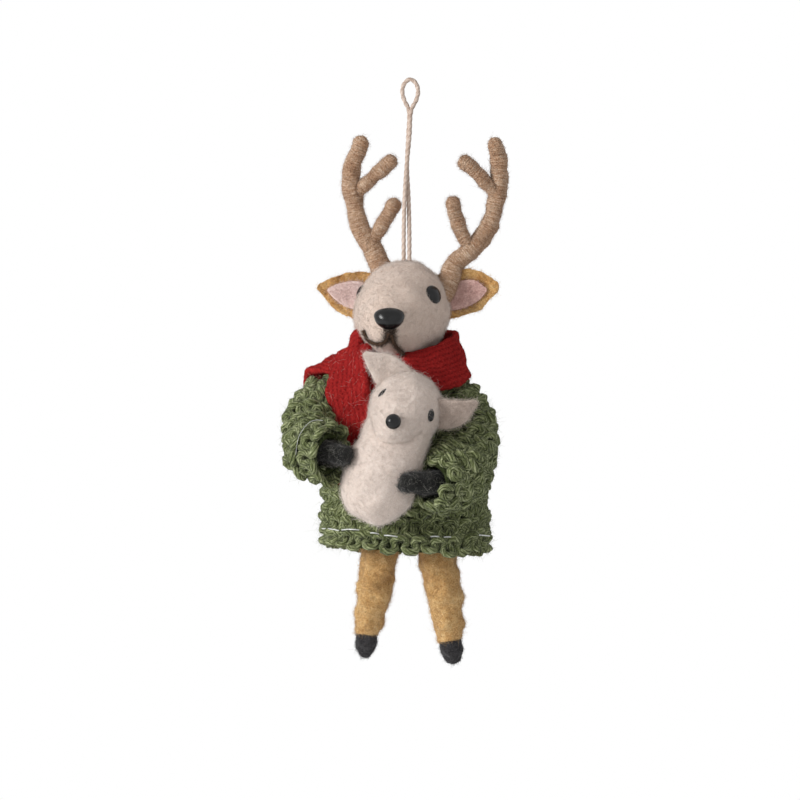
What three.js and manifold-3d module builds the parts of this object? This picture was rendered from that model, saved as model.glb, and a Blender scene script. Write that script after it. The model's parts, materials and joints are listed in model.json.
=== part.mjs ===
// A hanging deer ornament: a felted deer in a chunky knitted jumper and a red scarf,
// holding a pale felted fawn, on a loop of jute twine.
// Millimetres, +Z up. The deer faces -Y, so its own right side is at -X.
// Everything is modelled from the middle of the jumper's hem, and the whole group is
// moved at the end, so that the place where the loop hangs on a hook is the origin.
import * as THREE from 'three';
import { mergeVertices } from 'three/addons/utils/BufferGeometryUtils.js';
import Module from 'manifold-3d';

const wasm = await Module();
wasm.setup();

// Fits that every piece shares
const seatGap = 0.3; // between two pieces that are needled, sewn or glued together
const wireGap = 0.25; // round a wire in its bore
const weldReach = 0.001; // points nearer than this are one point

// Felted torso, hidden in the jumper
const torsoWidth = 41;
const torsoDepth = 30;
const torsoHeight = 47;
const neckRadius = 6.5;
const neckHeight = 12;
const hemDrop = 5; // the jumper's hem hangs this far below the torso

// Knitted jumper
const jumperWall = 5.4;
const hemEase = 2; // the open hem is this much wider than the torso's foot
const rowPitch = 4.9; // height of one knitted row
const ridgeHeight = 0.9; // how far a row stands out
const sleeveRadius = 7.8;
const cuffRadius = 8.6;

// Felted arms and black hands
const armRadius = 3.6;
const handRadius = 3.8;
const rightArmReach = 56;
const leftArmReach = 62;

// Felted legs and black hooves
const hipSpread = 17.4; // between the two hips
const legRadius = 6.4;
const rightLegLength = 28.2;
const leftLegLength = 30;
const hoofRadius = 3.7;
const hoofLength = 6.2;
const hipEase = 0.95; // room round a leg's top, so that it swings
const hipDrop = 2.4; // a hip's centre lies this far below the torso

// Felted head
const headWidth = 30.5;
const headDepth = 28;
const headHeight = 30.5;
const headLift = 23.6; // from the shoulders up to the middle of the head
const muzzleReach = 9; // how far the muzzle is drawn out of the ball

// Plastic eyes and nose of the deer
const eyeRadius = 3;
const eyeBulge = 1.7;
const noseWidth = 11;
const noseHeight = 6.9;
const noseBulge = 3.4;
const stemRadius = 0.8;
const stemLength = 5.5;
const mouthThread = 0.6; // radius of the embroidery thread

// Ears of thick felt with a pink lining
const earLength = 19;
const earWidth = 15.4;
const earThickness = 2;
const earCup = 2.8; // depth of the hollow of an ear
const liningLength = 12.5;
const liningWidth = 9;
const liningThickness = 1;

// Antlers of wire wrapped in jute
const antlerHeight = 44;
const antlerRadius = 2.75;
const tineRadius = 2.15;

// Armature wire
const wireRadius = 0.6;
const neckWireRadius = 0.9;
const neckWireLength = 19;
const wireRoot = 6; // how far an antler's wire goes into the head

// Scarf, one knitted strip
const scarfWidth = 14.5;
const scarfThickness = 2.4;

// Felted fawn
const fawnBodyRadius = 11.5;
const fawnBodyLength = 18.2; // between the middles of its two rounded ends
const fawnHeadRadius = 10.5;
const fawnMuzzle = 3.2;
const fawnEarLength = 14.5;
const fawnEarWidth = 10.5;
const fawnEarThickness = 3;
const beadRadius = 2.3;
const fawnEyeRadius = 1.5;
const beadSink = 0.7; // how far a bead is pressed into the felt
const fawnSink = 1.5; // how far the fawn is pressed into the jumper

// Jute twine
const twineRadius = 0.65;
const loopHeight = 57;
const knotRadius = 1.9;
const knotDepth = 9; // from the crown down to the knot

const V3 = THREE.Vector3;
const v = (x, y, z) => new V3(x, y, z);
const radians = THREE.MathUtils.degToRad;
const mix = THREE.MathUtils.lerp;
const front = v(0, -1, 0);
const back = v(0, 1, 0);
const sides = { right: -1, left: 1 };
const sideNames = Object.keys(sides);

// A three.js geometry as a solid with its faces outward, which can be cut and joined.
function solidOf(geometry) {
  const bare = new THREE.BufferGeometry();
  bare.setAttribute('position', geometry.getAttribute('position').clone());
  bare.setIndex(geometry.getIndex());
  const welded = mergeVertices(bare, weldReach);
  const place = welded.getAttribute('position');
  const index = welded.getIndex().array;
  const at = (i) => new V3().fromBufferAttribute(place, i);
  const corners = [];
  let volume = 0;
  for (let i = 0; i < index.length; i += 3) {
    const [a, b, c] = index.slice(i, i + 3);
    if (a !== b && b !== c && c !== a) {
      corners.push(a, b, c);
      volume += at(a).dot(at(b).cross(at(c)));
    }
  }
  if (volume < 0) corners.reverse();
  return new wasm.Manifold(new wasm.Mesh({
    numProp: 3,
    vertProperties: place.array,
    triVerts: new Uint32Array(corners),
  }));
}

// What is left after the cuts, without the slivers that they can leave.
function cut(solid, ...tools) {
  const left = tools.reduce((rest, tool) => rest.subtract(tool), solid);
  return left.decompose().reduce((best, body) => (body.volume() > best.volume() ? body : best));
}

const join = (first, ...others) => others.reduce((sum, other) => sum.add(other), first);

// The value at a share of the way along a list, smoothed between its entries.
function along(list, share) {
  const place = share * (list.length - 1);
  const i = Math.min(Math.floor(place), list.length - 2);
  const t = place - i;
  return mix(list[i], list[i + 1], t * t * (3 - 2 * t));
}

const curveOf = (points) => new THREE.CatmullRomCurve3(points);
const scaled = (shares, size, from) => shares.map(([x, y, z]) => v(x, y, z).multiplyScalar(size).add(from));

// A roll of felt, knit, jute or wire: a round bar turned with the given radii and bent
// along its curve from one share of it to another. Its ends are domes, startDome and
// endDome times as high as a half ball. flat is its thickness as a share of its width,
// and cup is the depth of the hollow that its face gets at half of cupWidth.
const rollDefaults = {
  around: 12, steps: 10, domeSteps: 3, startDome: 1, endDome: 1, grow: 0, flat: 1,
  from: 0, to: 1, cup: 0, cupWidth: 1, up: v(0, 0, 1),
};

function roll(curve, radii, options = {}) {
  const { around, steps, domeSteps, startDome, endDome, grow, flat, from, to, cup, cupWidth, up } = {
    ...rollDefaults, ...options };
  const radiusAt = (i) => along(radii, i / steps) + grow;
  const rings = [];
  for (let i = 0; i < domeSteps; i++) {
    const angle = (i / domeSteps) * Math.PI / 2;
    const past = startDome * radii[0] + grow;
    rings.push([radiusAt(0) * Math.sin(angle), from, -past * Math.cos(angle)]);
  }
  for (let i = 0; i <= steps; i++) rings.push([radiusAt(i), mix(from, to, i / steps), 0]);
  for (let i = domeSteps - 1; i >= 0; i--) {
    const angle = (i / domeSteps) * Math.PI / 2;
    const past = endDome * radii[radii.length - 1] + grow;
    rings.push([radiusAt(steps) * Math.sin(angle), to, past * Math.cos(angle)]);
  }
  const turned = new THREE.LatheGeometry(rings.map(([radius], i) => new THREE.Vector2(radius, i)), around);
  const place = turned.getAttribute('position');
  const widest = Math.max(...radii) + grow;
  const thinning = (flat * (widest - grow) + grow) / widest;
  for (let k = 0; k < place.count; k++) {
    const [, share, past] = rings[k % rings.length];
    const tangent = curve.getTangentAt(share);
    const side = up.clone().cross(tangent).normalize();
    const face = tangent.clone().cross(side);
    const across = place.getX(k);
    const over = place.getZ(k) * thinning + cup * (2 * across / cupWidth) ** 2;
    const point = curve.getPointAt(share).addScaledVector(tangent, past)
      .addScaledVector(side, across).addScaledVector(face, over);
    place.setXYZ(k, point.x, point.y, point.z);
  }
  return solidOf(turned);
}

// A ball of felt or plastic with the given half sizes, drawn out towards each pull.
function ballOf(centre, half, pulls = [], turn = new THREE.Quaternion()) {
  const place = (direction, grow = 0) => {
    const unit = direction.clone().normalize();
    const point = unit.clone().multiply(half);
    for (const { towards, amount, sharpness } of pulls) {
      point.addScaledVector(towards, amount * Math.max(0, unit.dot(towards)) ** sharpness);
    }
    return point.addScaledVector(unit, grow).applyQuaternion(turn).add(centre);
  };
  const form = (grow = 0, around = 24, rows = 16) => {
    const sphere = new THREE.SphereGeometry(1, around, rows);
    const at = sphere.getAttribute('position');
    for (let k = 0; k < at.count; k++) {
      const point = place(v(at.getX(k), -at.getZ(k), at.getY(k)), grow);
      at.setXYZ(k, point.x, point.y, point.z);
    }
    return solidOf(sphere);
  };
  // The direction whose place is seen from the front at these shares of the half sizes.
  const facing = (xShare, zShare) => {
    let [x, z] = [xShare, zShare];
    const tries = 12;
    const backOff = 0.7;
    const depth = () => -Math.sqrt(Math.max(0.01, 1 - x * x - z * z));
    for (let i = 0; i < tries; i++) {
      const point = place(v(x, depth(), z)).sub(centre);
      x += backOff * (xShare - point.x / half.x);
      z += backOff * (zShare - point.z / half.z);
    }
    return v(x, depth(), z).normalize();
  };
  const normal = (direction) => {
    const step = 0.05;
    const level = v(0, 0, 1).cross(direction).normalize();
    const rise = direction.clone().cross(level);
    const at = place(direction);
    const a = place(direction.clone().addScaledVector(level, step)).sub(at);
    const b = place(direction.clone().addScaledVector(rise, step)).sub(at);
    return a.cross(b).normalize();
  };
  return { place, form, facing, normal };
}

// An oval turning: rows of half width, half depth and height, closed on the axis.
function ovalTurn(rows, around) {
  const turned = new THREE.LatheGeometry(rows.map(([wide, , z]) => new THREE.Vector2(wide, z)), around);
  const place = turned.getAttribute('position');
  for (let k = 0; k < place.count; k++) {
    const [wide, deep, z] = rows[k % rows.length];
    const squash = wide > 0 ? deep / wide : 1;
    place.setXYZ(k, place.getX(k), -place.getZ(k) * squash, z);
  }
  return solidOf(turned);
}

// A strip of cloth with rounded edges, carried through its stations.
function strip(centres, acrosses, width, thickness, steps, grow = 0) {
  const path = curveOf(centres);
  const acrossAt = curveOf(acrosses);
  const flatHalf = (width - thickness) / 2;
  const half = thickness / 2 + grow;
  const edgeSteps = 3;
  const section = [];
  for (const edge of [1, -1]) {
    for (let i = 0; i <= edgeSteps; i++) {
      const angle = edge * (Math.PI / 2) * (1 - 2 * i / edgeSteps);
      section.push([edge * (flatHalf + Math.cos(angle) * half), Math.sin(angle) * half]);
    }
  }
  const points = [];
  for (let i = 0; i <= steps; i++) {
    const tangent = path.getTangent(i / steps);
    const across = acrossAt.getPoint(i / steps);
    across.addScaledVector(tangent, -across.dot(tangent)).normalize();
    const face = tangent.clone().cross(across);
    for (const [out, over] of section) {
      points.push(path.getPoint(i / steps).addScaledVector(across, out).addScaledVector(face, over));
    }
  }
  const count = section.length;
  const last = steps * count;
  const corners = [];
  for (let i = 0; i < last; i += count) {
    for (let j = 0; j < count; j++) {
      const [a, b] = [i + j, i + (j + 1) % count];
      corners.push(a, a + count, b, b, a + count, b + count);
    }
  }
  for (let j = 1; j < count - 1; j++) corners.push(0, j, j + 1, last, last + j + 1, last + j);
  return solidOf(new THREE.BufferGeometry().setFromPoints(points).setIndex(corners));
}

// A straight round bar.
function bar(from, to, radius, around = 10) {
  return roll(new THREE.LineCurve3(from, to), [radius, radius],
    { steps: 1, around, domeSteps: 1, startDome: 0, endDome: 0, up: back });
}

// The ornament's pieces are named meshes.
const ornament = new THREE.Group();

function piece(name, solid, material) {
  const made = solid.simplify(seatGap / 5).getMesh();
  const geometry = new THREE.BufferGeometry();
  geometry.setAttribute('position', new THREE.BufferAttribute(made.vertProperties, made.numProp));
  geometry.setIndex(new THREE.BufferAttribute(made.triVerts, 1));
  geometry.computeVertexNormals();
  const mesh = new THREE.Mesh(geometry, material);
  mesh.name = name;
  ornament.add(mesh);
}

const material = (color, roughness, metalness = 0) => new THREE.MeshStandardMaterial({ color, roughness, metalness });
const creamFelt = material(0xd9c9bb, 0.95);
const paleFelt = material(0xddcfc2, 0.95);
const tanFelt = material(0xbd9058, 0.95);
const pinkFelt = material(0xd3b1ab, 0.95);
const blackFelt = material(0x2b2a2b, 0.95);
const greenKnit = material(0x66733f, 0.9);
const redKnit = material(0x9c1f20, 0.9);
const juteWrap = material(0xa98464, 0.9);
const blackPlastic = material(0x0c0c0c, 0.12);
const brownThread = material(0x4a3626, 0.9);
const steelWire = material(0x9a9a98, 0.4, 0.9);

// Torso, with the neck on it
const shoulderHeight = hemDrop + torsoHeight;
const torsoShares = [0.86, 0.96, 1, 0.99, 0.94, 0.84, 0.6];
const torsoRows = 7;
const ovalSides = 24;

function torsoHalf(z) {
  const share = THREE.MathUtils.clamp((z - hemDrop) / torsoHeight, 0, 1);
  const wide = along(torsoShares, share);
  return [torsoWidth / 2 * wide, torsoDepth / 2 * wide];
}

// The torso, or the hollow that it and the open hem below it leave in the jumper.
function torsoForm(grow = 0, hollow = false) {
  const [hemWide, hemDeep] = torsoHalf(hemDrop).map((half) => half + grow);
  const bottom = hollow ? -jumperWall : hemDrop - grow;
  const rows = [[0, 0, bottom]];
  if (hollow) {
    rows.push([hemWide + hemEase, hemDeep + hemEase, bottom], [hemWide + hemEase, hemDeep + hemEase, 0]);
  }
  for (let i = 0; i <= torsoRows; i++) {
    const z = hemDrop + torsoHeight * i / torsoRows;
    const [wide, deep] = torsoHalf(z);
    const edge = { 0: -grow, [torsoRows]: grow }[i] ?? 0;
    rows.push([wide + grow, deep + grow, z + edge]);
  }
  const neck = neckRadius + grow;
  const neckTop = shoulderHeight + neckHeight + grow;
  rows.push([neck, neck, shoulderHeight + grow + neckRadius / 4], [neck, neck, neckTop], [0, 0, neckTop]);
  return ovalTurn(rows, ovalSides);
}

// Jumper: each row of knitting stands out as a ridge round the body
const jumperTop = shoulderHeight + jumperWall / 2;
const necklineShare = 0.62; // the neckline's size as a share of the shoulders'
const skirtTop = hemDrop + torsoHeight / 4; // below this the jumper hangs straight

function jumperHalf(z) {
  const [wide, deep] = torsoHalf(Math.max(z, skirtTop));
  return [wide + jumperWall, deep + jumperWall];
}

function jumperForm(grow = 0) {
  const ridges = Math.round(jumperTop / rowPitch);
  const rows = [[0, 0, -grow]];
  for (let i = 0; i <= ridges * 2; i++) {
    const z = jumperTop * i / (ridges * 2);
    const past = grow + (i % 2 ? ridgeHeight : 0);
    const [wide, deep] = jumperHalf(z);
    rows.push([wide + past, deep + past, i ? z : -grow]);
  }
  const [wide, deep] = jumperHalf(jumperTop).map((half) => half * necklineShare + grow);
  const top = jumperTop + jumperWall / 2 + grow;
  rows.push([wide, deep, top], [0, 0, top]);
  return ovalTurn(rows, ovalSides);
}

// The depth of the jumper's front at a place seen from the front.
function jumperFront(x, z) {
  const [wide, deep] = jumperHalf(z);
  return -(deep + ridgeHeight) * Math.sqrt(Math.max(0, 1 - (x / wide) ** 2));
}

// Arms. The shares are of the arm's reach, from the shoulder to the tip of the hand.
const armShares = {
  right: [[0.014, 0, 0.014], [-0.125, -0.06, -0.03], [-0.25, -0.17, -0.1], [-0.275, -0.34, -0.228],
    [-0.24, -0.49, -0.298], [-0.15, -0.59, -0.33], [-0.066, -0.625, -0.343]],
  left: [[-0.013, 0, 0.013], [0.055, -0.065, -0.07], [0.108, -0.177, -0.2], [0.075, -0.323, -0.338],
    [-0.008, -0.452, -0.418], [-0.118, -0.565, -0.442], [-0.2, -0.62, -0.437]],
};
const armReach = { right: rightArmReach, left: leftArmReach };
const shoulderShare = 0.94; // height of the shoulders on the torso
const wristShare = 0.7;
const cuffShare = 0.8;
const shoulderZ = hemDrop + torsoHeight * shoulderShare;
const shoulderOf = (side) => v(sides[side] * torsoHalf(shoulderZ)[0], 0, shoulderZ);
const armPoints = (side) => scaled(armShares[side], armReach[side], shoulderOf(side));
const bluntEnds = { startDome: 0, endDome: 0, domeSteps: 1 };
const armForm = (side, grow = 0) => roll(curveOf(armPoints(side)), [armRadius, armRadius],
  { grow, to: wristShare, steps: 8, around: 9, ...bluntEnds });

function handForm(side, grow = 0) {
  const from = wristShare + seatGap / armReach[side];
  return roll(curveOf(armPoints(side)), [armRadius, handRadius, handRadius * 0.94],
    { grow, from, steps: 5, startDome: 0, endDome: 0.8 });
}

function sleeveForm(side, grow = 0) {
  const rows = Math.round(armReach[side] * cuffShare / rowPitch);
  const radii = [];
  for (let i = 0; i <= rows * 2; i++) {
    radii.push(mix(sleeveRadius, cuffRadius, i / (rows * 2)) + (i % 2 ? ridgeHeight : 0));
  }
  return roll(curveOf(armPoints(side)), radii,
    { grow, to: cuffShare, steps: rows * 2, around: 14, startDome: 0.3, endDome: 0.2, domeSteps: 2 });
}

// One wire goes through both arms and the torso.
const wireStops = [0, 0.15, 0.3, 0.45, 0.6, 0.75, 0.9];

function armWire(grow = 0) {
  const points = (side) => wireStops.map((share) => curveOf(armPoints(side)).getPointAt(share));
  const curve = curveOf([...points('right').reverse(), ...points('left')]);
  return roll(curve, [wireRadius, wireRadius], { grow, steps: 26, around: 6, ...bluntEnds });
}

// Legs and hooves. The shares are of the leg's length, from the hip's centre down.
const legShares = {
  right: [[0, 0, 0], [-0.012, -0.01, -0.2], [-0.058, -0.02, -0.52], [-0.11, -0.01, -0.78], [-0.138, 0, -1]],
  left: [[0, 0, 0], [0.03, -0.01, -0.2], [0.08, -0.02, -0.48], [0.122, -0.01, -0.78], [0.15, 0, -1]],
};
const legWidthShares = { right: [0.95, 0.92, 0.9, 0.82, 0.7, 0.62], left: [1, 0.96, 0.96, 0.9, 0.84, 0.68] };
const legLength = { right: rightLegLength, left: leftLegLength };
const stance = 0.9; // the hips' middle is this far to the deer's left
const hipOf = (side) => v(stance + sides[side] * hipSpread / 2, 0, hemDrop - hipDrop);
const legPoints = (side) => scaled(legShares[side], legLength[side], hipOf(side));
const legForm = (side, grow = 0) => roll(curveOf(legPoints(side)),
  legWidthShares[side].map((share) => share * legRadius),
  { grow, steps: 10, around: 14, endDome: 0, up: back });
const hoofWidthShares = [0.96, 1, 0.9, 0.62];

// The line on which a leg runs on into its hoof.
function ankleOf(side) {
  const [above, end] = legPoints(side).slice(-2);
  return { end, way: end.clone().sub(above).normalize() };
}

function hoofForm(side, grow = 0) {
  const { end, way } = ankleOf(side);
  const top = end.clone().addScaledVector(way, seatGap);
  const curve = new THREE.LineCurve3(top, top.clone().addScaledVector(way, hoofLength));
  return roll(curve, hoofWidthShares.map((share) => share * hoofRadius),
    { grow, steps: 5, startDome: 0, endDome: 0.5, up: back });
}

function legWire(side, grow = 0) {
  const { end, way } = ankleOf(side);
  const curve = curveOf([...legPoints(side), end.clone().addScaledVector(way, hoofLength * 0.6)]);
  return roll(curve, [wireRadius, wireRadius], { grow, steps: 10, around: 6, up: back, ...bluntEnds });
}

// Head: a felted ball with its muzzle turned to the deer's right
const headTurn = new THREE.Quaternion().setFromEuler(new THREE.Euler(0, radians(3), radians(-12)));
const headCentre = v(-0.036 * headWidth, -0.11 * headDepth, shoulderHeight + headLift);
const head = ballOf(headCentre, v(headWidth / 2, headDepth / 2, headHeight / 2), [
  { towards: v(0, -1, -0.3).normalize(), amount: muzzleReach, sharpness: 3 },
  { towards: v(0, -0.3, -1).normalize(), amount: muzzleReach / 12, sharpness: 2 },
  { towards: v(-0.8, -0.1, 0.5).normalize(), amount: -muzzleReach / 6, sharpness: 4 },
], headTurn);
const headForm = (grow = 0) => head.form(grow, 26, 17);

// Eyes and nose: plastic domes, each on a stem that is pushed into the head
function button(ball, way, half, taper = 0) {
  const foot = ball.place(way);
  const out = ball.normal(way);
  const turn = new THREE.Quaternion().setFromUnitVectors(front, out);
  const dome = new THREE.SphereGeometry(1, 14, 9);
  const at = dome.getAttribute('position');
  for (let k = 0; k < at.count; k++) {
    const narrowing = 1 - taper * (1 - at.getY(k)) / 2;
    const point = v(at.getX(k) * narrowing, -at.getZ(k), at.getY(k)).multiply(half);
    point.applyQuaternion(turn).add(foot);
    at.setXYZ(k, point.x, point.y, point.z);
  }
  const stem = (grow = 0) => bar(foot.clone().addScaledVector(out, half.y / 3),
    foot.clone().addScaledVector(out, -stemLength - grow), stemRadius + grow);
  return { dome: solidOf(dome), stem };
}

const eyeHalf = v(eyeRadius, eyeBulge, eyeRadius);
const eyeShares = { right: [-0.9, 0.4], left: [0.665, 0.31] };
const noseHalf = v(noseWidth / 2, noseBulge, noseHeight / 2);
const buttons = { nose: button(head, head.facing(-0.25, -0.185), noseHalf, 0.4) };
for (const side of sideNames) buttons[`${side}_eye`] = button(head, head.facing(...eyeShares[side]), eyeHalf);
const buttonStems = Object.values(buttons).map(({ stem }) => stem(wireGap));

// Mouth: thread laid on the muzzle, at shares of the head's half sizes seen from the front
const mouthShares = {
  right: [[-0.74, -0.43], [-0.66, -0.61], [-0.47, -0.72], [-0.3, -0.67], [-0.25, -0.5]],
  left: [[-0.2, -0.5], [-0.15, -0.66], [-0.03, -0.82], [0.08, -0.92], [0.13, -0.96]],
};

function mouthForm(side, grow = 0) {
  const lift = seatGap + mouthThread * 0.7;
  const points = mouthShares[side].map((place) => head.place(head.facing(...place), lift));
  const radius = mouthThread + grow;
  return roll(curveOf(points), [radius, radius], { steps: 11, around: 7, domeSteps: 2, up: back });
}

// Antlers. The shares are of the antler's height, from its foot on the head.
const antlerFootShares = { right: v(-0.47, 0.24, 0.84), left: v(0.75, 0.2, 0.62) };
const antlerShares = {
  right: {
    beam: [[0.034, -0.02, -0.09], [-0.03, 0, 0.01], [-0.08, 0, 0.118], [-0.15, 0, 0.235], [-0.198, 0.01, 0.357],
      [-0.222, 0.01, 0.495], [-0.245, 0, 0.62], [-0.222, -0.02, 0.75], [-0.168, -0.04, 0.878]],
    upper: [[-0.215, 0.01, 0.525], [-0.13, -0.03, 0.6], [-0.035, -0.05, 0.69], [0.035, -0.07, 0.75]],
    lower: [[-0.1, 0, 0.19], [-0.035, -0.04, 0.28], [0.02, -0.06, 0.375], [0.058, -0.08, 0.445]],
  },
  left: {
    beam: [[0, -0.03, -0.11], [0.055, -0.01, 0.01], [0.1, 0, 0.118], [0.19, 0, 0.2], [0.29, 0.01, 0.305],
      [0.36, 0.01, 0.43], [0.39, 0.01, 0.57], [0.413, 0, 0.7], [0.41, -0.01, 0.83], [0.385, -0.03, 0.965]],
    upper: [[0.395, 0, 0.6], [0.32, -0.03, 0.69], [0.24, -0.05, 0.78], [0.172, -0.06, 0.835]],
    lower: [[0.19, 0, 0.25], [0.14, -0.04, 0.36], [0.107, -0.06, 0.46], [0.082, -0.08, 0.54]],
  },
};
const beamWidthShares = [1.3, 1.2, 1.04, 1.04, 0.98, 1.02, 0.95, 0.86];
const tineWidthShares = [0.9, 1, 0.96, 1.02];
const antlerCurve = (side, branch) => curveOf(
  scaled(antlerShares[side][branch], antlerHeight, head.place(antlerFootShares[side])));

function antlerForm(side, grow = 0) {
  const beam = roll(antlerCurve(side, 'beam'), beamWidthShares.map((share) => share * antlerRadius),
    { grow, steps: 14, up: back });
  const tines = ['upper', 'lower'].map((branch) => roll(antlerCurve(side, branch),
    tineWidthShares.map((share) => share * tineRadius), { grow, steps: 4, around: 10, up: back }));
  return join(beam, ...tines);
}

function antlerWire(side, grow = 0) {
  const curve = antlerCurve(side, 'beam');
  const root = curve.getPointAt(0).addScaledVector(curve.getTangentAt(0), -wireRoot - grow);
  const path = curveOf([root, ...wireStops.map((share) => curve.getPointAt(share))]);
  return roll(path, [wireRadius, wireRadius], { grow, steps: 12, around: 6, up: back, ...bluntEnds });
}

// Ears of the deer: felt leaves hollowed towards the front
const earFootShares = { right: v(-0.95, 0.36, 0.28), left: v(0.93, 0.4, 0.33) };
const earPathShares = {
  right: [[0.13, 0, 0.02], [-0.25, 0, -0.02], [-0.55, -0.05, 0.01], [-0.79, -0.12, 0.11]],
  left: [[-0.13, 0, 0], [0.24, 0, 0.05], [0.52, -0.05, 0.09], [0.78, -0.12, 0.15]],
};
const earWidthShares = [0.78, 1, 1, 0.86, 0.54, 0.16];
const liningWidthShares = [0.8, 1, 0.95, 0.62, 0.2];

function leafForm(foot, pathShares, length, widths, [width, thickness], options) {
  return roll(curveOf(scaled(pathShares, length, foot)), widths.map((share) => share * width / 2),
    { flat: thickness / width, steps: 8, around: 14, startDome: 0.5, endDome: 0.5, domeSteps: 2, up: back, ...options });
}

const earForm = (side, grow = 0) => leafForm(head.place(earFootShares[side]), earPathShares[side], earLength,
  earWidthShares, [earWidth, earThickness], { grow, cup: -earCup, cupWidth: earWidth });

function liningForm(side) {
  const foot = head.place(earFootShares[side]).addScaledVector(front, (earThickness + liningThickness) / 2);
  foot.x += sides[side] * earLength * 0.1;
  return leafForm(foot, earPathShares[side], liningLength, liningWidthShares, [liningWidth, liningThickness],
    { around: 12, cup: -earCup, cupWidth: earWidth });
}

// Fawn: it sits against the front of the jumper and leans to the deer's left
const fawnLean = v(0.335, 0.03, 0.94).normalize();
const fawnDepthShare = 0.92; // the body's depth as a share of its width
const fawnFoot = v(-0.205 * torsoWidth, 0, hemDrop + 0.335 * torsoHeight);
fawnFoot.y = jumperFront(fawnFoot.x, fawnFoot.z) - fawnBodyRadius * fawnDepthShare + fawnSink;
const fawnWidthShares = [1, 1.03, 1, 0.95, 0.9];
const fawnBodyForm = (grow = 0) => roll(
  new THREE.LineCurve3(fawnFoot, fawnFoot.clone().addScaledVector(fawnLean, fawnBodyLength)),
  fawnWidthShares.map((share) => share * fawnBodyRadius),
  { grow, steps: 5, around: 20, domeSteps: 4, flat: fawnDepthShare, up: back });

const fawnNeckShare = 0.7; // from the body's upper end to the head, in head radii
const fawnCentre = fawnFoot.clone().addScaledVector(fawnLean, fawnBodyLength + fawnNeckShare * fawnHeadRadius);
const fawnTurn = new THREE.Quaternion().setFromEuler(new THREE.Euler(0, radians(26), radians(-6)));
const fawnHead = ballOf(fawnCentre, v(fawnHeadRadius * 1.05, fawnHeadRadius * 0.97, fawnHeadRadius * 1.12), [
  { towards: v(0, -1, -0.35).normalize(), amount: fawnMuzzle * 0.8, sharpness: 3 },
  { towards: v(0, -1, -1.1).normalize(), amount: fawnMuzzle, sharpness: 5 },
], fawnTurn);
const fawnHeadForm = (grow = 0) => fawnHead.form(grow, 20, 14);

// Beads: the places are shares of the fawn's head seen from the front
const beads = {
  fawn_nose: { place: [-0.31, -0.28], size: beadRadius, sink: beadSink },
  fawn_right_eye: { place: [-0.63, 0.44], size: fawnEyeRadius, sink: beadSink + fawnEyeRadius * 0.7 },
  fawn_left_eye: { place: [0.69, -0.17], size: fawnEyeRadius, sink: beadSink + fawnEyeRadius * 0.7 },
};
const beadNames = Object.keys(beads);

function beadForm(name, grow = 0) {
  const { place, size, sink } = beads[name];
  const centre = fawnHead.place(fawnHead.facing(...place), size - sink);
  return ballOf(centre, v(size, size, size)).form(grow, 12, 8);
}

const fawnEarFootShares = { right: v(-0.72, -0.1, 0.62), left: v(0.93, -0.05, 0.36) };
const fawnEarShares = {
  right: [[0.2, 0.05, -0.17], [-0.12, 0, 0.12], [-0.36, -0.04, 0.31], [-0.57, -0.06, 0.47]],
  left: [[-0.2, 0.02, 0.02], [0.2, 0, -0.01], [0.52, -0.04, 0.07], [0.75, -0.06, 0.2]],
};
const fawnEarWidthShares = [0.95, 1, 0.92, 0.6, 0.16];
const fawnEarForm = (side, grow = 0) => leafForm(fawnHead.place(fawnEarFootShares[side]), fawnEarShares[side],
  fawnEarLength, fawnEarWidthShares, [fawnEarWidth, fawnEarThickness],
  { grow, cup: -fawnEarThickness / 3, cupWidth: fawnEarWidth });

// Scarf: the front tail rises to the neck, the strip goes once round it and crosses the
// front, and the back tail falls over the deer's right shoulder. The shares are of the
// jumper's half width, its half depth and the shoulder height.
const [jumperHalfWidth, jumperHalfDepth] = jumperHalf(skirtTop);
const scarfPoint = ([x, y, z]) => v(x * jumperHalfWidth, y * jumperHalfDepth, z * shoulderHeight);
const frontTailShares = [
  [[-0.6, -0.5, 1.22], [-0.66, -0.1, -0.74]],
  [[-0.68, -0.74, 1.1], [-0.8, 0.3, -0.5]],
  [[-0.69, -0.9, 0.98], [-0.84, 0.48, -0.2]],
  [[-0.65, -0.95, 0.83], [-0.84, 0.54, 0]],
  [[-0.64, -0.95, 0.65], [-0.84, 0.54, 0]],
  [[-0.71, -0.91, 0.52], [-0.84, 0.54, 0]],
  [[-0.76, -0.87, 0.41], [-0.84, 0.54, 0]],
];
const neckWrapShares = [
  [[-0.56, -0.62, 1.235], [0.25, 0.2, 0.95]],
  [[-0.7, -0.1, 1.205], [0.33, 0.05, 0.94]],
  [[-0.48, 0.5, 1.2], [0.24, -0.24, 0.94]],
  [[0, 0.69, 1.195], [0, -0.28, 0.96]],
  [[0.48, 0.5, 1.195], [-0.24, -0.24, 0.94]],
  [[0.69, -0.05, 1.185], [-0.3, 0.03, 0.95]],
  [[0.56, -0.6, 1.13], [-0.22, 0.25, 0.95]],
  [[0.17, -0.88, 1.08], [-0.1, 0.3, 0.95]],
  [[-0.25, -0.86, 1.09], [0.1, 0.35, 0.93]],
];
const backTailShares = [
  [[-0.1, -0.88, 1.085], [0.05, 0.35, 0.93]],
  [[-0.5, -0.72, 1.12], [0.35, 0.45, 0.8]],
  [[-0.8, -0.25, 1.16], [0.8, 0.25, 0.45]],
  [[-0.98, 0.27, 1.08], [0.96, 0, 0.25]],
  [[-0.96, 0.62, 0.87], [0.96, 0.25, 0]],
  [[-0.92, 0.74, 0.68], [0.94, 0.3, 0]],
];

function scarfForm(grow = 0) {
  const runs = [[neckWrapShares, 20], [frontTailShares, 8], [backTailShares, 9]];
  const parts = runs.map(([stations, steps]) => strip(
    stations.map(([at]) => scarfPoint(at)), stations.map(([, across]) => v(...across)),
    scarfWidth, scarfThickness, steps, grow));
  return join(...parts);
}

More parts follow.
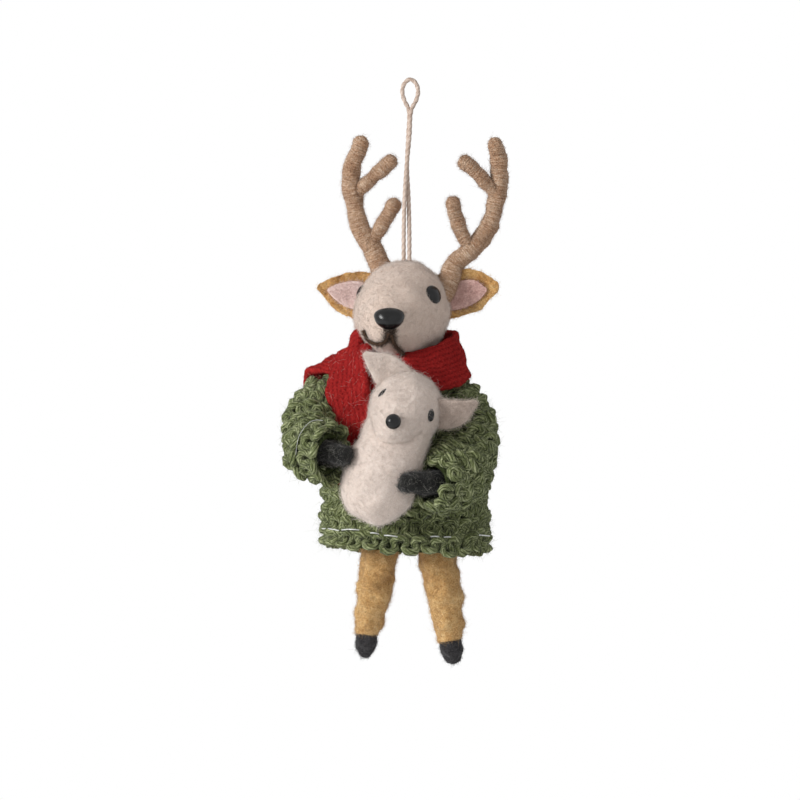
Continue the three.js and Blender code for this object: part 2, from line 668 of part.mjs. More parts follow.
// Twine: a loop that rises from the crown, and a knot that holds it inside the head.
// The shares are of the loop's height, from the crown up one strand and down the other.
const crown = head.place(v(0.09, -0.17, 1));
const loopShares = [
  [-0.0155, 0, 0.005], [-0.015, -0.004, 0.175], [-0.0105, -0.011, 0.35], [0.001, -0.014, 0.525],
  [0.021, -0.0105, 0.685], [0.035, -0.0035, 0.825], [0.0525, 0, 0.88], [0.063, 0, 0.93], [0.048, 0, 0.976],
  [0.0185, 0, 0.993], [-0.0105, 0, 0.972], [-0.023, 0, 0.93], [-0.0125, 0, 0.88], [0.005, 0.0018, 0.825],
  [0.005, 0.0105, 0.685], [0.0025, 0.014, 0.525], [0.0105, 0.011, 0.35], [0.015, 0.004, 0.175], [0.0155, 0, 0.005],
];
const topPlace = Math.floor(loopShares.length / 2); // which of the loop's places is the top
const hangPoint = scaled([loopShares[topPlace]], loopHeight, crown)[0].add(v(0, 0, -twineRadius));

const loopForm = () => roll(curveOf(scaled(loopShares, loopHeight, crown)), [twineRadius, twineRadius],
  { steps: 46, around: 8, up: back, ...bluntEnds });

// grow also opens the knot's pocket at the crown.
function knotForm(grow = 0) {
  const centre = crown.clone().add(v(0, 0, -knotDepth));
  const knot = ballOf(centre, v(knotRadius, knotRadius, knotRadius)).form(grow, 12, 8);
  const top = crown.clone().add(v(0, 0, grow > 0 ? knotRadius : -seatGap));
  return join(knot, bar(centre, top, 2 * twineRadius + grow));
}

function neckWire(grow = 0) {
  const middle = shoulderHeight + neckHeight;
  const half = neckWireLength / 2 + grow;
  return bar(v(0, 0, middle - half), v(0, 0, middle + half), neckWireRadius + grow, 8);
}

// Each piece gives way to its firmer neighbours by the seat gap.
const near = (form, ...which) => form(...which, seatGap);
const bothOf = (form) => sideNames.map((side) => near(form, side));
const torsoFit = near(torsoForm);
const jumperFit = near(jumperForm);
const headFit = near(headForm);
const fawnBodyFit = near(fawnBodyForm);
const fawnHeadFit = near(fawnHeadForm);
const hemHollow = torsoForm(seatGap, true);
const antlerWireBores = sideNames.map((side) => antlerWire(side, wireGap));

piece('torso', cut(torsoForm(), ...sideNames.map((side) => legForm(side, hipEase)), armWire(wireGap),
  neckWire(wireGap)), tanFelt);
piece('jumper_body', cut(jumperForm(), hemHollow, ...bothOf(armForm)), greenKnit);
piece('head', cut(headForm(), torsoFit, ...bothOf(antlerForm), ...antlerWireBores,
  ...buttonStems, near(knotForm), neckWire(wireGap)), creamFelt);
piece('neck_wire', neckWire(), steelWire);
piece('arm_wire', armWire(), steelWire);

for (const side of sideNames) {
  piece(`${side}_arm`, cut(armForm(side), torsoFit, armWire(wireGap)), tanFelt);
  piece(`${side}_hand`, cut(handForm(side), armWire(wireGap), fawnBodyFit), blackFelt);
  piece(`${side}_sleeve`, cut(sleeveForm(side), jumperFit, torsoFit, near(armForm, side), near(handForm, side),
    fawnBodyFit, fawnHeadFit, ...bothOf(fawnEarForm)), greenKnit);
  piece(`${side}_leg`, cut(legForm(side), legWire(side, wireGap)), tanFelt);
  piece(`${side}_leg_wire`, legWire(side), steelWire);
  piece(`${side}_hoof`, cut(hoofForm(side), legWire(side, wireGap)), blackFelt);
  piece(`${side}_antler`, cut(antlerForm(side), antlerWire(side, wireGap)), juteWrap);
  piece(`${side}_antler_wire`, antlerWire(side), steelWire);
  piece(`${side}_ear`, cut(earForm(side), headFit, near(antlerForm, side)), tanFelt);
  piece(`${side}_ear_lining`, cut(liningForm(side), headFit, near(earForm, side), near(antlerForm, side)),
    pinkFelt);
}

piece('right_mouth_thread', cut(mouthForm('right'), headFit), brownThread);
piece('left_mouth_thread', cut(mouthForm('left'), headFit, near(mouthForm, 'right')), brownThread);
for (const [name, { dome, stem }] of Object.entries(buttons)) {
  piece(name, join(cut(dome, headFit), stem()), blackPlastic);
}

piece('fawn_body', cut(fawnBodyForm(), jumperFit, fawnHeadFit), paleFelt);
piece('fawn_head', cut(fawnHeadForm(), jumperFit, ...beadNames.map((name) => near(beadForm, name))), paleFelt);
for (const side of sideNames) {
  piece(`fawn_${side}_ear`, cut(fawnEarForm(side), fawnHeadFit, headFit, jumperFit), paleFelt);
}
for (const name of beadNames) piece(name, beadForm(name), blackPlastic);

piece('scarf', cut(scarfForm(), jumperFit, ...bothOf(mouthForm), torsoFit, headFit, fawnHeadFit, fawnBodyFit,
  ...bothOf(sleeveForm), ...bothOf(fawnEarForm), ...bothOf(earForm), ...bothOf(handForm)), redKnit);
piece('twine_knot', knotForm(), juteWrap);
piece('hanging_loop', loopForm(), juteWrap);

ornament.position.copy(hangPoint).negate();
ornament.updateMatrixWorld(true);
export default ornament;
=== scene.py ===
# A felted deer that hangs on a loop of jute twine: chunky green jumper, red scarf, and a
# pale felted fawn in its arms. The sections follow the ornament from the hook down.
import json

import bpy
import numpy as np
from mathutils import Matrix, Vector

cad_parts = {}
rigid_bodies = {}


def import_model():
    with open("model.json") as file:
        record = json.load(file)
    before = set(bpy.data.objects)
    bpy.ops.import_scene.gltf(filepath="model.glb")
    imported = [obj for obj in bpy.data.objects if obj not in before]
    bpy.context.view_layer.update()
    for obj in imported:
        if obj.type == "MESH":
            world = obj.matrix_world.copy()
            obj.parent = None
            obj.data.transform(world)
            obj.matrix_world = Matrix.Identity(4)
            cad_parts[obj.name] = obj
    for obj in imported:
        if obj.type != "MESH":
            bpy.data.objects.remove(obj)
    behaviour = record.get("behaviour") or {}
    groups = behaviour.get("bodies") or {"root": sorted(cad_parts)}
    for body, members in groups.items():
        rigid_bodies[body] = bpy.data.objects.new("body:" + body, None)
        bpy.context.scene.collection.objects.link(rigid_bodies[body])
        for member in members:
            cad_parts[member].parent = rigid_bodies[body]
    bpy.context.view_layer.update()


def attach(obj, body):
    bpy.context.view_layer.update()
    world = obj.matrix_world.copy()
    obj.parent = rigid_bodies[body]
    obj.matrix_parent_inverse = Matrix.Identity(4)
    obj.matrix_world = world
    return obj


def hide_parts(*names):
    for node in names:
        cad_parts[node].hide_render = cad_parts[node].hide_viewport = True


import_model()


# Studio: a white room lit from the viewer's left, seen through a long lens that stands
# level with the deer. The deer hangs over a plain pale floor, which takes its shadow.
def camera_at(aim, distance, height_seen, look_down):
    """A long lens so far from the aim, tilted down by so many degrees, whose picture is as
    high as the height seen there."""
    lens = bpy.data.cameras.new("studio_lens")
    lens.sensor_width = 36
    lens.lens = lens.sensor_width * distance / height_seen
    lens.clip_end = 20
    camera = bpy.data.objects.new("studio_camera", lens)
    tilt = np.radians(look_down)
    camera.location = Vector(aim) + Vector((0, -np.cos(tilt), np.sin(tilt))) * distance
    camera.rotation_euler = (np.pi / 2 - tilt, 0, 0)
    bpy.context.scene.collection.objects.link(camera)
    bpy.context.scene.camera = camera


camera_at(aim=(-0.0031, 0, -0.0991), distance=2.5, height_seen=0.24904, look_down=1.0)


def lamp(name, place, size, power, aim=(0, 0, -0.1)):
    """A round lamp that points at the middle of the deer."""
    light = bpy.data.lights.new(name, "AREA")
    light.shape = "DISK"
    light.size = size
    light.energy = power
    holder = bpy.data.objects.new(name, light)
    holder.location = place
    holder.rotation_euler = (Vector(aim) - Vector(place)).to_track_quat("-Z", "Y").to_euler()
    bpy.context.scene.collection.objects.link(holder)


lamp("key_lamp", place=(-1.02, -0.68, 0.2), size=0.46, power=11.2)
lamp("fill_lamp", place=(0.6, -1.2, 0.1), size=1.6, power=1.2)


def seen_level(tree, unseen, seen):
    """A strength for a plain white surround: one for light that falls on the deer, and
    one for what the camera sees, straight or in a reflection."""
    path = tree.nodes.new("ShaderNodeLightPath")
    either = path.outputs["Is Camera Ray"]
    for ray in ("Is Glossy Ray", "Is Transmission Ray"):
        most = tree.nodes.new("ShaderNodeMath")
        most.operation = "MAXIMUM"
        tree.links.new(either, most.inputs[0])
        tree.links.new(path.outputs[ray], most.inputs[1])
        either = most.outputs[0]
    level = tree.nodes.new("ShaderNodeMapRange")
    level.inputs["To Min"].default_value = unseen
    level.inputs["To Max"].default_value = seen
    tree.links.new(either, level.inputs["Value"])
    return level.outputs[0]


room = bpy.data.worlds.new("studio")
bpy.context.scene.world = room
room.use_nodes = True
wall = room.node_tree.nodes["Background"]
wall.inputs["Color"].default_value = (1, 1, 1, 1)
wall_level = seen_level(room.node_tree, unseen=0.46, seen=1.0)
room.node_tree.links.new(wall_level, wall.inputs["Strength"])
bpy.context.scene.view_settings.view_transform = "Standard"

card = bpy.data.materials.new("floor_card")
card.use_nodes = True
card_tree, card_shader = card.node_tree, card.node_tree.nodes["Principled BSDF"]
card_shader.inputs["Base Color"].default_value = (0.9, 0.9, 0.9, 1)
card_shader.inputs["Roughness"].default_value = 0.9
card_shader.inputs["Emission Color"].default_value = (1, 1, 1, 1)
card_level = seen_level(card_tree, unseen=0.0, seen=0.5)
card_tree.links.new(card_level, card_shader.inputs["Emission Strength"])
side, clear, mixed = (card_tree.nodes.new("ShaderNode" + kind)
                      for kind in ("NewGeometry", "BsdfTransparent", "MixShader"))
for given, taken in zip((side.outputs["Backfacing"], card_shader.outputs[0], clear.outputs[0]),
                        mixed.inputs):
    card_tree.links.new(given, taken)
card_tree.links.new(mixed.outputs[0], card_tree.nodes["Material Output"].inputs["Surface"])
floor_radius, floor_level, floor_sides = 2.6, -0.46, 96
turn = np.linspace(0, 2 * np.pi, floor_sides, endpoint=False)
rim = [floor_radius * np.cos(turn), floor_radius * np.sin(turn), 0 * turn + floor_level]
ground = bpy.data.meshes.new("studio_floor")
ground.from_pydata(np.stack(rim, -1).tolist(), [], [list(range(floor_sides))])
ground.materials.append(card)
floor = bpy.data.objects.new("studio_floor", ground)
bpy.context.scene.collection.objects.link(floor)


# Hanging loop: two strands of two-ply jute, 1.3 mm thick, that rise from the crown side
# by side, turn half round each other and open into a small eye for the hook.
hem_from_hook = np.array([-1.572, 5.646, -146.462])  # mm, to the middle of the jumper's hem


def in_frame(places):
    """Places in mm off the middle of the jumper's hem, as metres off the hook."""
    return (np.asarray(places, float) + hem_from_hook) / 1000


def unit(vectors):
    """Each vector at length 1."""
    return vectors / np.maximum(np.linalg.norm(vectors, axis=-1, keepdims=True), 1e-12)


def way_along(places):
    """How far each place is from the first, along the line through them."""
    steps = np.linalg.norm(np.diff(places, axis=0), axis=1)
    return np.concatenate([[0], np.cumsum(steps)])


def read_at(wanted, run, table):
    """The rows of the table, read between its lines where the run has the wanted values."""
    return np.stack([np.interp(wanted, run, column) for column in table.T], -1)


def curve(points):
    """Centripetal Catmull-Rom curve through the points, as close places, and the way along
    it: each stretch is the cubic whose slopes at its ends weigh the chords on both sides by
    the square roots of their lengths."""
    p = np.asarray(points, float)
    p = np.vstack([2 * p[0] - p[1], p, 2 * p[-1] - p[-2]])
    gap = np.maximum(np.linalg.norm(np.diff(p, axis=0), axis=1) ** 0.5, 1e-9)[:, None]
    a, b, c, d = p[:-3], p[1:-2], p[2:-1], p[3:]
    g0, g1, g2 = gap[:-2], gap[1:-1], gap[2:]
    slope_b = ((b - a) / g0 - (c - a) / (g0 + g1) + (c - b) / g1) * g1
    slope_c = ((c - b) / g1 - (d - b) / (g1 + g2) + (d - c) / g2) * g1
    t = np.linspace(0, 1, 65)[None, :, None]
    b, c, slope_b, slope_c = (x[:, None] for x in (b, c, slope_b, slope_c))
    fine = (2 * t**3 - 3 * t**2 + 1) * b + (t**3 - 2 * t**2 + t) * slope_b
    fine = fine + (3 * t**2 - 2 * t**3) * c + (t**3 - t**2) * slope_c
    fine = np.vstack([fine[:, :-1].reshape(-1, 3), p[-2]])
    return fine, way_along(fine)


def spline(points, count, start=0.0, end=1.0):
    """Places equally far apart on the curve through the points, from start to end as shares
    of its length, and the directions there."""
    fine, run = curve(points)
    wanted = run[-1] * np.linspace(start, end, count)
    return read_at(wanted, run, fine), unit(read_at(wanted, run, np.gradient(fine, run, axis=0)))


def carried_frames(way, up):
    """Two directions square to the path at each place: across it, and out of it."""
    across = unit(np.cross(np.broadcast_to(np.asarray(up, float), way.shape), way))
    return across, np.cross(way, across)


def grown(place, way, up, outline):
    """A tube: at each place, the outline's (across, out) pairs set square to the path."""
    across, out = carried_frames(way, up)
    return place[:, None] + across[:, None] * outline[..., :1] + out[:, None] * outline[..., 1:]


def mesh_of(name, corners, faces, uv=None):
    """A smooth mesh object at the origin, from places in mm off the jumper's hem."""
    mesh = bpy.data.meshes.new(name)
    faces = np.asarray(faces, np.int32)
    starts = np.arange(0, faces.size, faces.shape[1], dtype=np.int32)
    mesh.vertices.add(len(corners))
    mesh.vertices.foreach_set("co", in_frame(corners).ravel())
    mesh.loops.add(faces.size)
    mesh.loops.foreach_set("vertex_index", faces.ravel())
    mesh.polygons.add(len(faces))
    mesh.polygons.foreach_set("loop_start", starts)
    mesh.polygons.foreach_set("use_smooth", np.ones(len(faces), bool))
    if uv is not None:
        mesh.uv_layers.new(name="along").data.foreach_set("uv", np.asarray(uv, float).ravel())
    mesh.update(calc_edges=True)
    mesh.validate()
    obj = bpy.data.objects.new(name, mesh)
    bpy.context.scene.collection.objects.link(obj)
    return obj


def ring_faces(rings, around, after):
    """Triangles between each of the rings and the one after it, two to a quad."""
    i, j = np.meshgrid(np.arange(rings), np.arange(around), indexing="ij")
    k, m = (j + 1) % around, (i + 1) % after
    quads = np.stack([i * around + j, i * around + k, m * around + k, m * around + j], -1)
    return quads.reshape(-1, 4)[:, [0, 1, 2, 0, 2, 3]].reshape(-1, 3)


def closed_tube(grid):
    """A tube's corners, with a pole in the middle of each end ring after them, and its
    faces, turned outwards: triangles between the rings and a fan to each pole."""
    rings, around, _ = grid.shape
    j = np.arange(around)
    k, last, low = (j + 1) % around, (rings - 1) * around, rings * around
    faces = np.vstack([ring_faces(rings - 1, around, rings), np.stack([k, j, 0 * j + low], 1),
                       np.stack([last + j, last + k, 0 * j + low + 1], 1)])
    ring, after = grid[rings // 2], grid[rings // 2 + 1]
    facing = np.cross(ring[1] - ring[0], after[0] - ring[0])
    if np.dot(facing, ring[0] - ring.mean(0)) < 0:
        faces = faces[:, ::-1]
    return np.vstack([grid.reshape(-1, 3), grid[0].mean(0), grid[-1].mean(0)]), faces


def tube(name, grid, run=None):
    """A closed tube. The UV's first value goes once round, with a seam that doesn't run
    back, and its second is the way along in mm."""
    rings, around, _ = grid.shape
    run = way_along(grid.mean(1)) if run is None else run
    corners, faces = closed_tube(grid)
    u = np.concatenate([np.tile(np.arange(around) / around, rings), [0.5, 0.5]])[faces]
    u = np.where((u.max(1) - u.min(1) > 0.6)[:, None] & (u < 0.4), u + 1, u)
    v = np.concatenate([np.repeat(run, around), [run[0], run[-1]]])[faces]
    return mesh_of(name, corners, faces, np.stack([u, v], -1))


def circle(around, radius):
    """Corners of a circle, as (across, out) pairs for each given radius."""
    angle = np.arange(around) / around * 2 * np.pi
    ring = np.stack([np.cos(angle), np.sin(angle)], -1)
    return np.atleast_1d(radius)[:, None, None] * ring[None]


def two_ply(count, radius, pitch, length, around=14):
    """Outline of a yarn of two plies, which turn once in a pitch: at each angle the radius
    is 0.82 + 0.18 |cos(angle - turn)| of the full one."""
    turn = np.linspace(0, length, count)[:, None] / pitch * 2 * np.pi
    angle = np.arange(around)[None] / around * 2 * np.pi
    return (0.82 + 0.18 * np.abs(np.cos(angle - turn)))[..., None] * circle(around, radius)


def srgb(colour):
    """A colour in hex digits, as Blender's linear colour."""
    value = np.array(list(bytes.fromhex(colour))) / 255
    return (*np.where(value <= 0.04045, value / 12.92, ((value + 0.055) / 1.055) ** 2.4), 1)


class Finish:
    """A material with its slot, built node by node: each call adds nodes, links them to
    what it is given and gives back the socket that comes out."""

    def __init__(self, name, slot, roughness, **shader):
        self.slot = slot
        self.material = bpy.data.materials.new(name)
        self.material.use_nodes = True
        self.tree = self.material.node_tree
        self.shader = self.tree.nodes["Principled BSDF"]
        self.shader.inputs["Roughness"].default_value = roughness
        for socket, value in shader.items():
            self.shader.inputs[socket.replace("_", " ")].default_value = value

    def node(self, kind, *values, setting=None, **named):
        """A node with one (name, value) setting, and values for its inputs in order or by
        name."""
        made = self.tree.nodes.new("ShaderNode" + kind)
        if setting:
            setattr(made, *setting)
        given = [*zip(made.inputs, values)] + [(made.inputs[key], named[key]) for key in named]
        for socket, value in given:
            if isinstance(value, bpy.types.NodeSocket):
                self.tree.links.new(value, socket)
            else:
                socket.default_value = value
        return made

    def math(self, operation, *values):
        return self.node("Math", *values, setting=("operation", operation)).outputs[0]

    def times(self, socket, factor):
        return self.math("MULTIPLY", socket, factor)

    def total(self, base, *terms):
        """The base, plus each term's socket times its weight."""
        for socket, weight in terms:
            base = self.math("MULTIPLY_ADD", socket, weight, base)
        return base

    def along(self):
        """The UV's two values: how far round or across, and the way along in mm."""
        uv = self.node("UVMap", setting=("uv_map", "along")).outputs[0]
        return self.node("SeparateXYZ", uv).outputs[:2]

    def noise(self, scale, detail=3.0, roughness=0.6, place=None):
        if place is None:
            place = self.node("TexCoord").outputs["Object"]
        return self.node("TexNoise", Vector=place, Scale=scale, Detail=detail,
                         Roughness=roughness).outputs[0]

    def colour(self, shade, *stops):
        """The surface's colour: the shade's place between the stops' (place, colour)."""
        made = self.node("ValToRGB", shade)
        elements = made.color_ramp.elements
        while len(elements) < len(stops):
            elements.new(0.5)
        for element, (place, colour) in zip(elements, stops):
            element.position = place
            element.color = srgb(colour)
        self.tree.links.new(made.outputs["Color"], self.shader.inputs["Base Color"])

    def bump(self, height, distance, strength=1.0):
        made = self.node("Bump", Height=height, Distance=distance, Strength=strength)
        self.tree.links.new(made.outputs[0], self.shader.inputs["Normal"])


def yarn_finish(name, slot, dark, mid, light, plies, pitch, groove):
    """Plied yarn: the plies wind round the strand, and the colour is darker in the grooves
    between them and lighter on their ridges, as painted shade and highlight. Fibres of several
    shades lie along each ply, drawn out where the noise is sampled on the turning circle
    (cos w, sin w, way along), with w the angle less the twist."""
    f = Finish(name, slot, 0.9, Sheen_Weight=0.1, Specular_IOR_Level=0.1)
    turn, run = f.along()
    wound = f.total(turn, (run, -1 / pitch))
    ridge = f.math("ABSOLUTE", f.math("SINE", f.times(wound, plies * np.pi)))
    lobe = f.math("POWER", ridge, 0.5)
    angle = f.times(wound, 2 * np.pi)
    lie = f.node("CombineXYZ", f.math("COSINE", angle), f.math("SINE", angle), f.times(run, 0.22))
    streak = f.noise(3.4, 3.0, 0.7, lie.outputs[0])
    patch, fibre = f.noise(230.0, 2.0), f.noise(3600.0, 2.0)
    # The lobe term paints shade into the grooves between the plies and highlight onto their ridges.
    f.colour(f.total(-0.72, (streak, 1.15), (lobe, 0.3), (patch, 0.45), (fibre, 0.35)),
             (0.2, dark), (0.5, mid), (0.78, light))
    f.bump(f.total(streak, (lobe, 0.7), (fibre, 0.5)), groove)
    return f


def dress(piece, finish, *nodes, body="figure"):
    """The piece's material, the body it rides on, and the plain solids that it stands for,
    which are hidden."""
    piece.data.materials.append(finish.material)
    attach(piece, body)
    if nodes:
        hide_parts(*nodes)
    return piece


twine_radius, twine_pitch, twine_rings, strand_rise = 0.65, 4.2, 560, 57
crown = np.array([0.517, -5.646, 90.511])
loop_route = crown + strand_rise * np.array([
    [-0.0155, 0, 0.005], [-0.015, -0.004, 0.175], [-0.0105, -0.011, 0.35], [0.001, -0.014, 0.525],
    [0.016, -0.0115, 0.685], [0.026, -0.009, 0.825], [0.0525, 0, 0.88], [0.063, 0, 0.93],
    [0.048, 0, 0.976], [0.0185, 0, 0.993], [-0.0105, 0, 0.972], [-0.023, 0, 0.93],
    [-0.0125, 0, 0.88], [0.012, 0.008, 0.825], [0.009, 0.0115, 0.685], [0.0025, 0.014, 0.525],
    [0.0105, 0.011, 0.35], [0.015, 0.004, 0.175], [0.0155, 0, 0.005]])
jute = yarn_finish("jute_twine", "jute", "ac9383", "d0bbac", "e8d7ca", plies=2, pitch=twine_pitch,
                   groove=0.00012)
loop_place, loop_way = spline(loop_route, twine_rings)
loop_length = way_along(loop_place)[-1]
loop_outline = two_ply(twine_rings, twine_radius * 1.06, twine_pitch, loop_length)
twine_loop = tube("twine_loop", grown(loop_place, loop_way, (0, 1, 0), loop_outline))
dress(twine_loop, jute, "hanging_loop", body="loop")


# Head: a ball of needle-felted cream wool, 30 mm across, with the muzzle drawn out of it
# and turned to the deer's right. Loose fibres stand off it. A wire joins it to the torso.
def turned(about_y, about_z):
    """Rotation by about_z round the Z axis and then by about_y round Y, in degrees."""
    b, c = np.radians([about_y, about_z])
    first = np.array([[np.cos(c), -np.sin(c), 0], [np.sin(c), np.cos(c), 0], [0, 0, 1]])
    return np.array([[np.cos(b), 0, np.sin(b)], [0, 1, 0], [-np.sin(b), 0, np.cos(b)]]) @ first


class Ball:
    """A ball with the given half sizes, drawn out along each pull by its amount times the
    cosine of the angle to it, to the power of its sharpness, and then turned."""

    def __init__(self, centre, half, pulls=(), turn=np.eye(3)):
        self.centre, self.half, self.turn = np.array(centre, float), np.array(half, float), turn
        self.pulls = [(unit(np.array(way, float)), amount, power) for way, amount, power in pulls]

    def place(self, ways, grow=0.0):
        way = unit(np.asarray(ways, float))
        at = way * self.half
        for towards, amount, power in self.pulls:
            at = at + towards * (amount * np.maximum(0, way @ towards) ** power)[..., None]
        return (at + way * grow) @ self.turn.T + self.centre

    def facing(self, x_share, z_share):
        """The direction whose place is seen from the front at these shares of the half
        sizes, found by stepping 0.7 of the miss at a time."""
        x, z = x_share, z_share
        for _ in range(13):
            way = np.array([x, -np.sqrt(max(0.01, 1 - x * x - z * z)), z])
            off = (self.place(way) - self.centre) / self.half
            x, z = x + 0.7 * (x_share - off[0]), z + 0.7 * (z_share - off[2])
        return unit(way)

    def normal(self, way):
        level = unit(np.cross([0, 0, 1.0], way))
        at, step = self.place(way), 0.05
        beside, above = (self.place(way + step * off) for off in (level, np.cross(way, level)))
        return unit(np.cross(beside - at, above - at))

    def grid(self, rings, around):
        """Rings of places from the foot of the ball to its top."""
        fall = np.linspace(-np.pi / 2, np.pi / 2, rings + 2)[1:-1, None]
        turn = np.arange(around)[None] / around * 2 * np.pi
        ways = [np.cos(fall) * np.cos(turn), np.cos(fall) * np.sin(turn), np.sin(fall) + 0 * turn]
        return self.place(np.stack(ways, -1))


def outward(grid):
    """Directions square to a closed grid of rings, pointing out of it."""
    out = unit(np.cross(np.roll(grid, -1, 1) - np.roll(grid, 1, 1), np.gradient(grid, axis=0)))
    k = len(grid) // 2
    return out if np.sum(out[k] * (grid[k] - grid[k].mean(0))) > 0 else -out


def rumple(places, size, amount, seed):
    """Slow unevenness at each place: waves about as long as size, in random directions."""
    dice = np.random.default_rng(seed)
    ways = unit(dice.normal(size=(12, 3))) * dice.uniform(0.6, 1.6, (12, 1)) * 2 * np.pi / size
    return amount * np.sin(places @ ways.T + dice.uniform(0, 6.3, 12)).sum(-1) / 2.5


def uneven(grid, *waves, ridge=0.0):
    """The grid, pushed out along its own normals by the ridge and each (size, amount, seed)."""
    return grid + outward(grid) * (ridge + sum(rumple(grid, *wave) for wave in waves))[..., None]


def hairs(name, root, rise, lean, run, up, bend, thickness, bends=1):
    """Fine fibres, each a thin spindle: root + run * (rise * up * (t - 0.4 t^2) + lean * t
    + aside * bend * t^2), from t = 0 to 1. It has a ring of three corners at each bend."""
    aside = np.cross(rise, lean)
    t = np.linspace(0, 1, bends + 2)[None, :, None]
    path = root + run * (rise * up * (t - 0.4 * t * t) + lean * t + aside * bend * t * t)
    path = path - 0.12 * rise
    way = unit(path[:, 2:] - path[:, :-2])
    first = unit(np.cross(way, aside))[:, :, None]
    second = np.cross(way[:, :, None], first)
    ring = circle(3, thickness * np.linspace(0.5, 0.4, bends))[None]
    bands = path[:, 1:-1, None] + first * ring[..., :1] + second * ring[..., 1:]
    corners = [path[:, :1], bands.reshape(len(path), -1, 3), path[:, -1:]]
    j, k, tip = np.arange(3) + 1, np.roll(np.arange(3), -1) + 1, 3 * bends + 1
    faces = [np.stack([0 * j, k, j], 1), np.stack([j + tip - 4, k + tip - 4, 0 * j + tip], 1)]
    for b in range(0, 3 * (bends - 1), 3):
        faces += [np.stack([j, k, k + 3], 1) + b, np.stack([j, k + 3, j + 3], 1) + b]
    every = np.concatenate(faces)[None] + (tip + 1) * np.arange(len(path))[:, None, None]
    return mesh_of(name, np.concatenate(corners, 1).reshape(-1, 3), every.reshape(-1, 3))


def fuzz(name, grid, finish, count, length, seed, thickness=0.06, lift=0.85, curl=1.0, bends=1,
         body="figure"):
    """Loose fibres on a closed grid: each leaves a random place on the surface, leans over
    and curls aside by a random amount."""
    dice = np.random.default_rng(seed)
    out = outward(grid)
    after = np.roll(grid, -1, 1)
    area = np.linalg.norm(np.cross(after[:-1] - grid[:-1], grid[1:] - grid[:-1]), axis=-1)
    pick = dice.choice(area.size, count, p=(area / area.sum()).ravel())
    i, j = np.unravel_index(pick, area.shape)
    a, b = dice.uniform(size=(2, count, 1))
    low, high = ((1 - b) * grid[row, j] + b * after[row, j] for row in (i, i + 1))
    root = ((1 - a) * low + a * high)[:, None]
    rise = out[i, j][:, None]
    lean = dice.normal(size=(count, 1, 3))
    lean = unit(lean - (lean * rise).sum(-1, keepdims=True) * rise)
    run, up = dice.uniform(0.35, 1.3, (count, 1, 1)), dice.uniform(0.1, 1.6, (count, 1, 1))
    bend = curl * dice.normal(size=(count, 1, 1))
    loose = hairs(name, root, rise, lean, length * run, lift * up, bend, thickness, bends)
    return dress(loose, finish, body=body)


def felt_finish(name, slot, dark, mid, light, speck=0.5, sheen=0.2, patchy=0.16):
    """Felted wool: fine fibres cross each other at random, and the colour drifts a
    little from one tuft to the next."""
    f = Finish(name, slot, 1.0, Sheen_Weight=sheen, Sheen_Roughness=0.6, Specular_IOR_Level=0.05)
    fibre = 0.0
    for tilt in (0.2, 0.5, 0.4), (1.3, -0.6, 1.7), (-0.9, 1.4, 2.8):
        lie = f.node("Mapping", Vector=f.node("TexCoord").outputs["Object"],
                     Scale=(1500, 5200, 5200), Rotation=tilt)
        fibre = f.math("MAXIMUM", fibre, f.noise(1.0, 2.5, 0.65, lie.outputs[0]))
    drift, tuft = f.noise(170.0, 2.0), f.noise(2600.0, 2.0)
    f.colour(f.total(-0.5 * (patchy + speck), (fibre, 1.0), (drift, patchy), (tuft, speck)),
             (0.42, dark), (0.58, mid), (0.76, light))
    f.bump(f.total(-0.4 * speck, (fibre, 1.0), (tuft, 0.8 * speck)), 0.00007, 0.6)
    return f


def felted(name, grid, finish, node, count, length, seed, nap=None, strays=None, body="figure"):
    """A felted piece, with a dense nap of short fibres and longer strays that stand off."""
    piece = dress(tube(name, grid), finish, node, body=body)
    nap = nap or finish
    fuzz(name + "_nap", grid, nap, count, length, seed, curl=0.8, body=body)
    fuzz(name + "_loose", grid, strays or nap, count // 16, 1.8 * length, seed + 100, 0.045,
         bends=2, body=body)
    return piece


cream = felt_finish("cream_felt", "felt_cream", "cbb4a5", "ddc8b9", "ecdbce", speck=0.32, sheen=0.5)
cream_fibre = felt_finish("cream_fibre", "felt_cream", "d4c0b2", "e4d3c6", "f4eae0", sheen=0.5)
head = Ball((-1.098, -3.08, 75.6), (15.25, 14, 15.25), turn=turned(3, -12), pulls=[
    ((0, -1, -0.3), 9, 3), ((0, -0.3, -1), 0.75, 2), ((-0.8, -0.1, 0.5), -1.5, 4)])
head_skin = uneven(head.grid(110, 150), (11, 0.14, 1), (3.5, 0.03, 2))
felted("head_felt", head_skin, cream, "head", 24000, 1.08, 3, cream_fibre)


# Knot: the twine's ends are tied in a ball that is buried in the crown, so that the loop
# can't be pulled out of the felt.
knot = Ball(crown + np.array([0, 0, -9]), (1.9, 1.9, 1.9))
dress(tube("twine_knot_buried", uneven(knot.grid(20, 24), (2, 0.15, 4))), jute, "twine_knot")


# Antlers: jute wound tightly round a bent wire, which goes down into the head. Each beam
# has two tines, and the windings cross a little at every fork.
def along(values, shares):
    """The values at shares of the way along their list, on a smooth curve through them."""
    values = np.asarray(values, float)
    place = np.asarray(shares, float) * (len(values) - 1)
    i = np.clip(place.astype(int), 0, len(values) - 2)
    t = place - i
    padded = np.concatenate([[2 * values[0] - values[1]], values, [2 * values[-1] - values[-2]]])
    a, b, c, d = (np.take(padded, i + k) for k in range(4))
    return b + 0.5 * t * (c - a + t * (2 * a - 5 * b + 4 * c - d + t * (3 * (b - c) + d - a)))


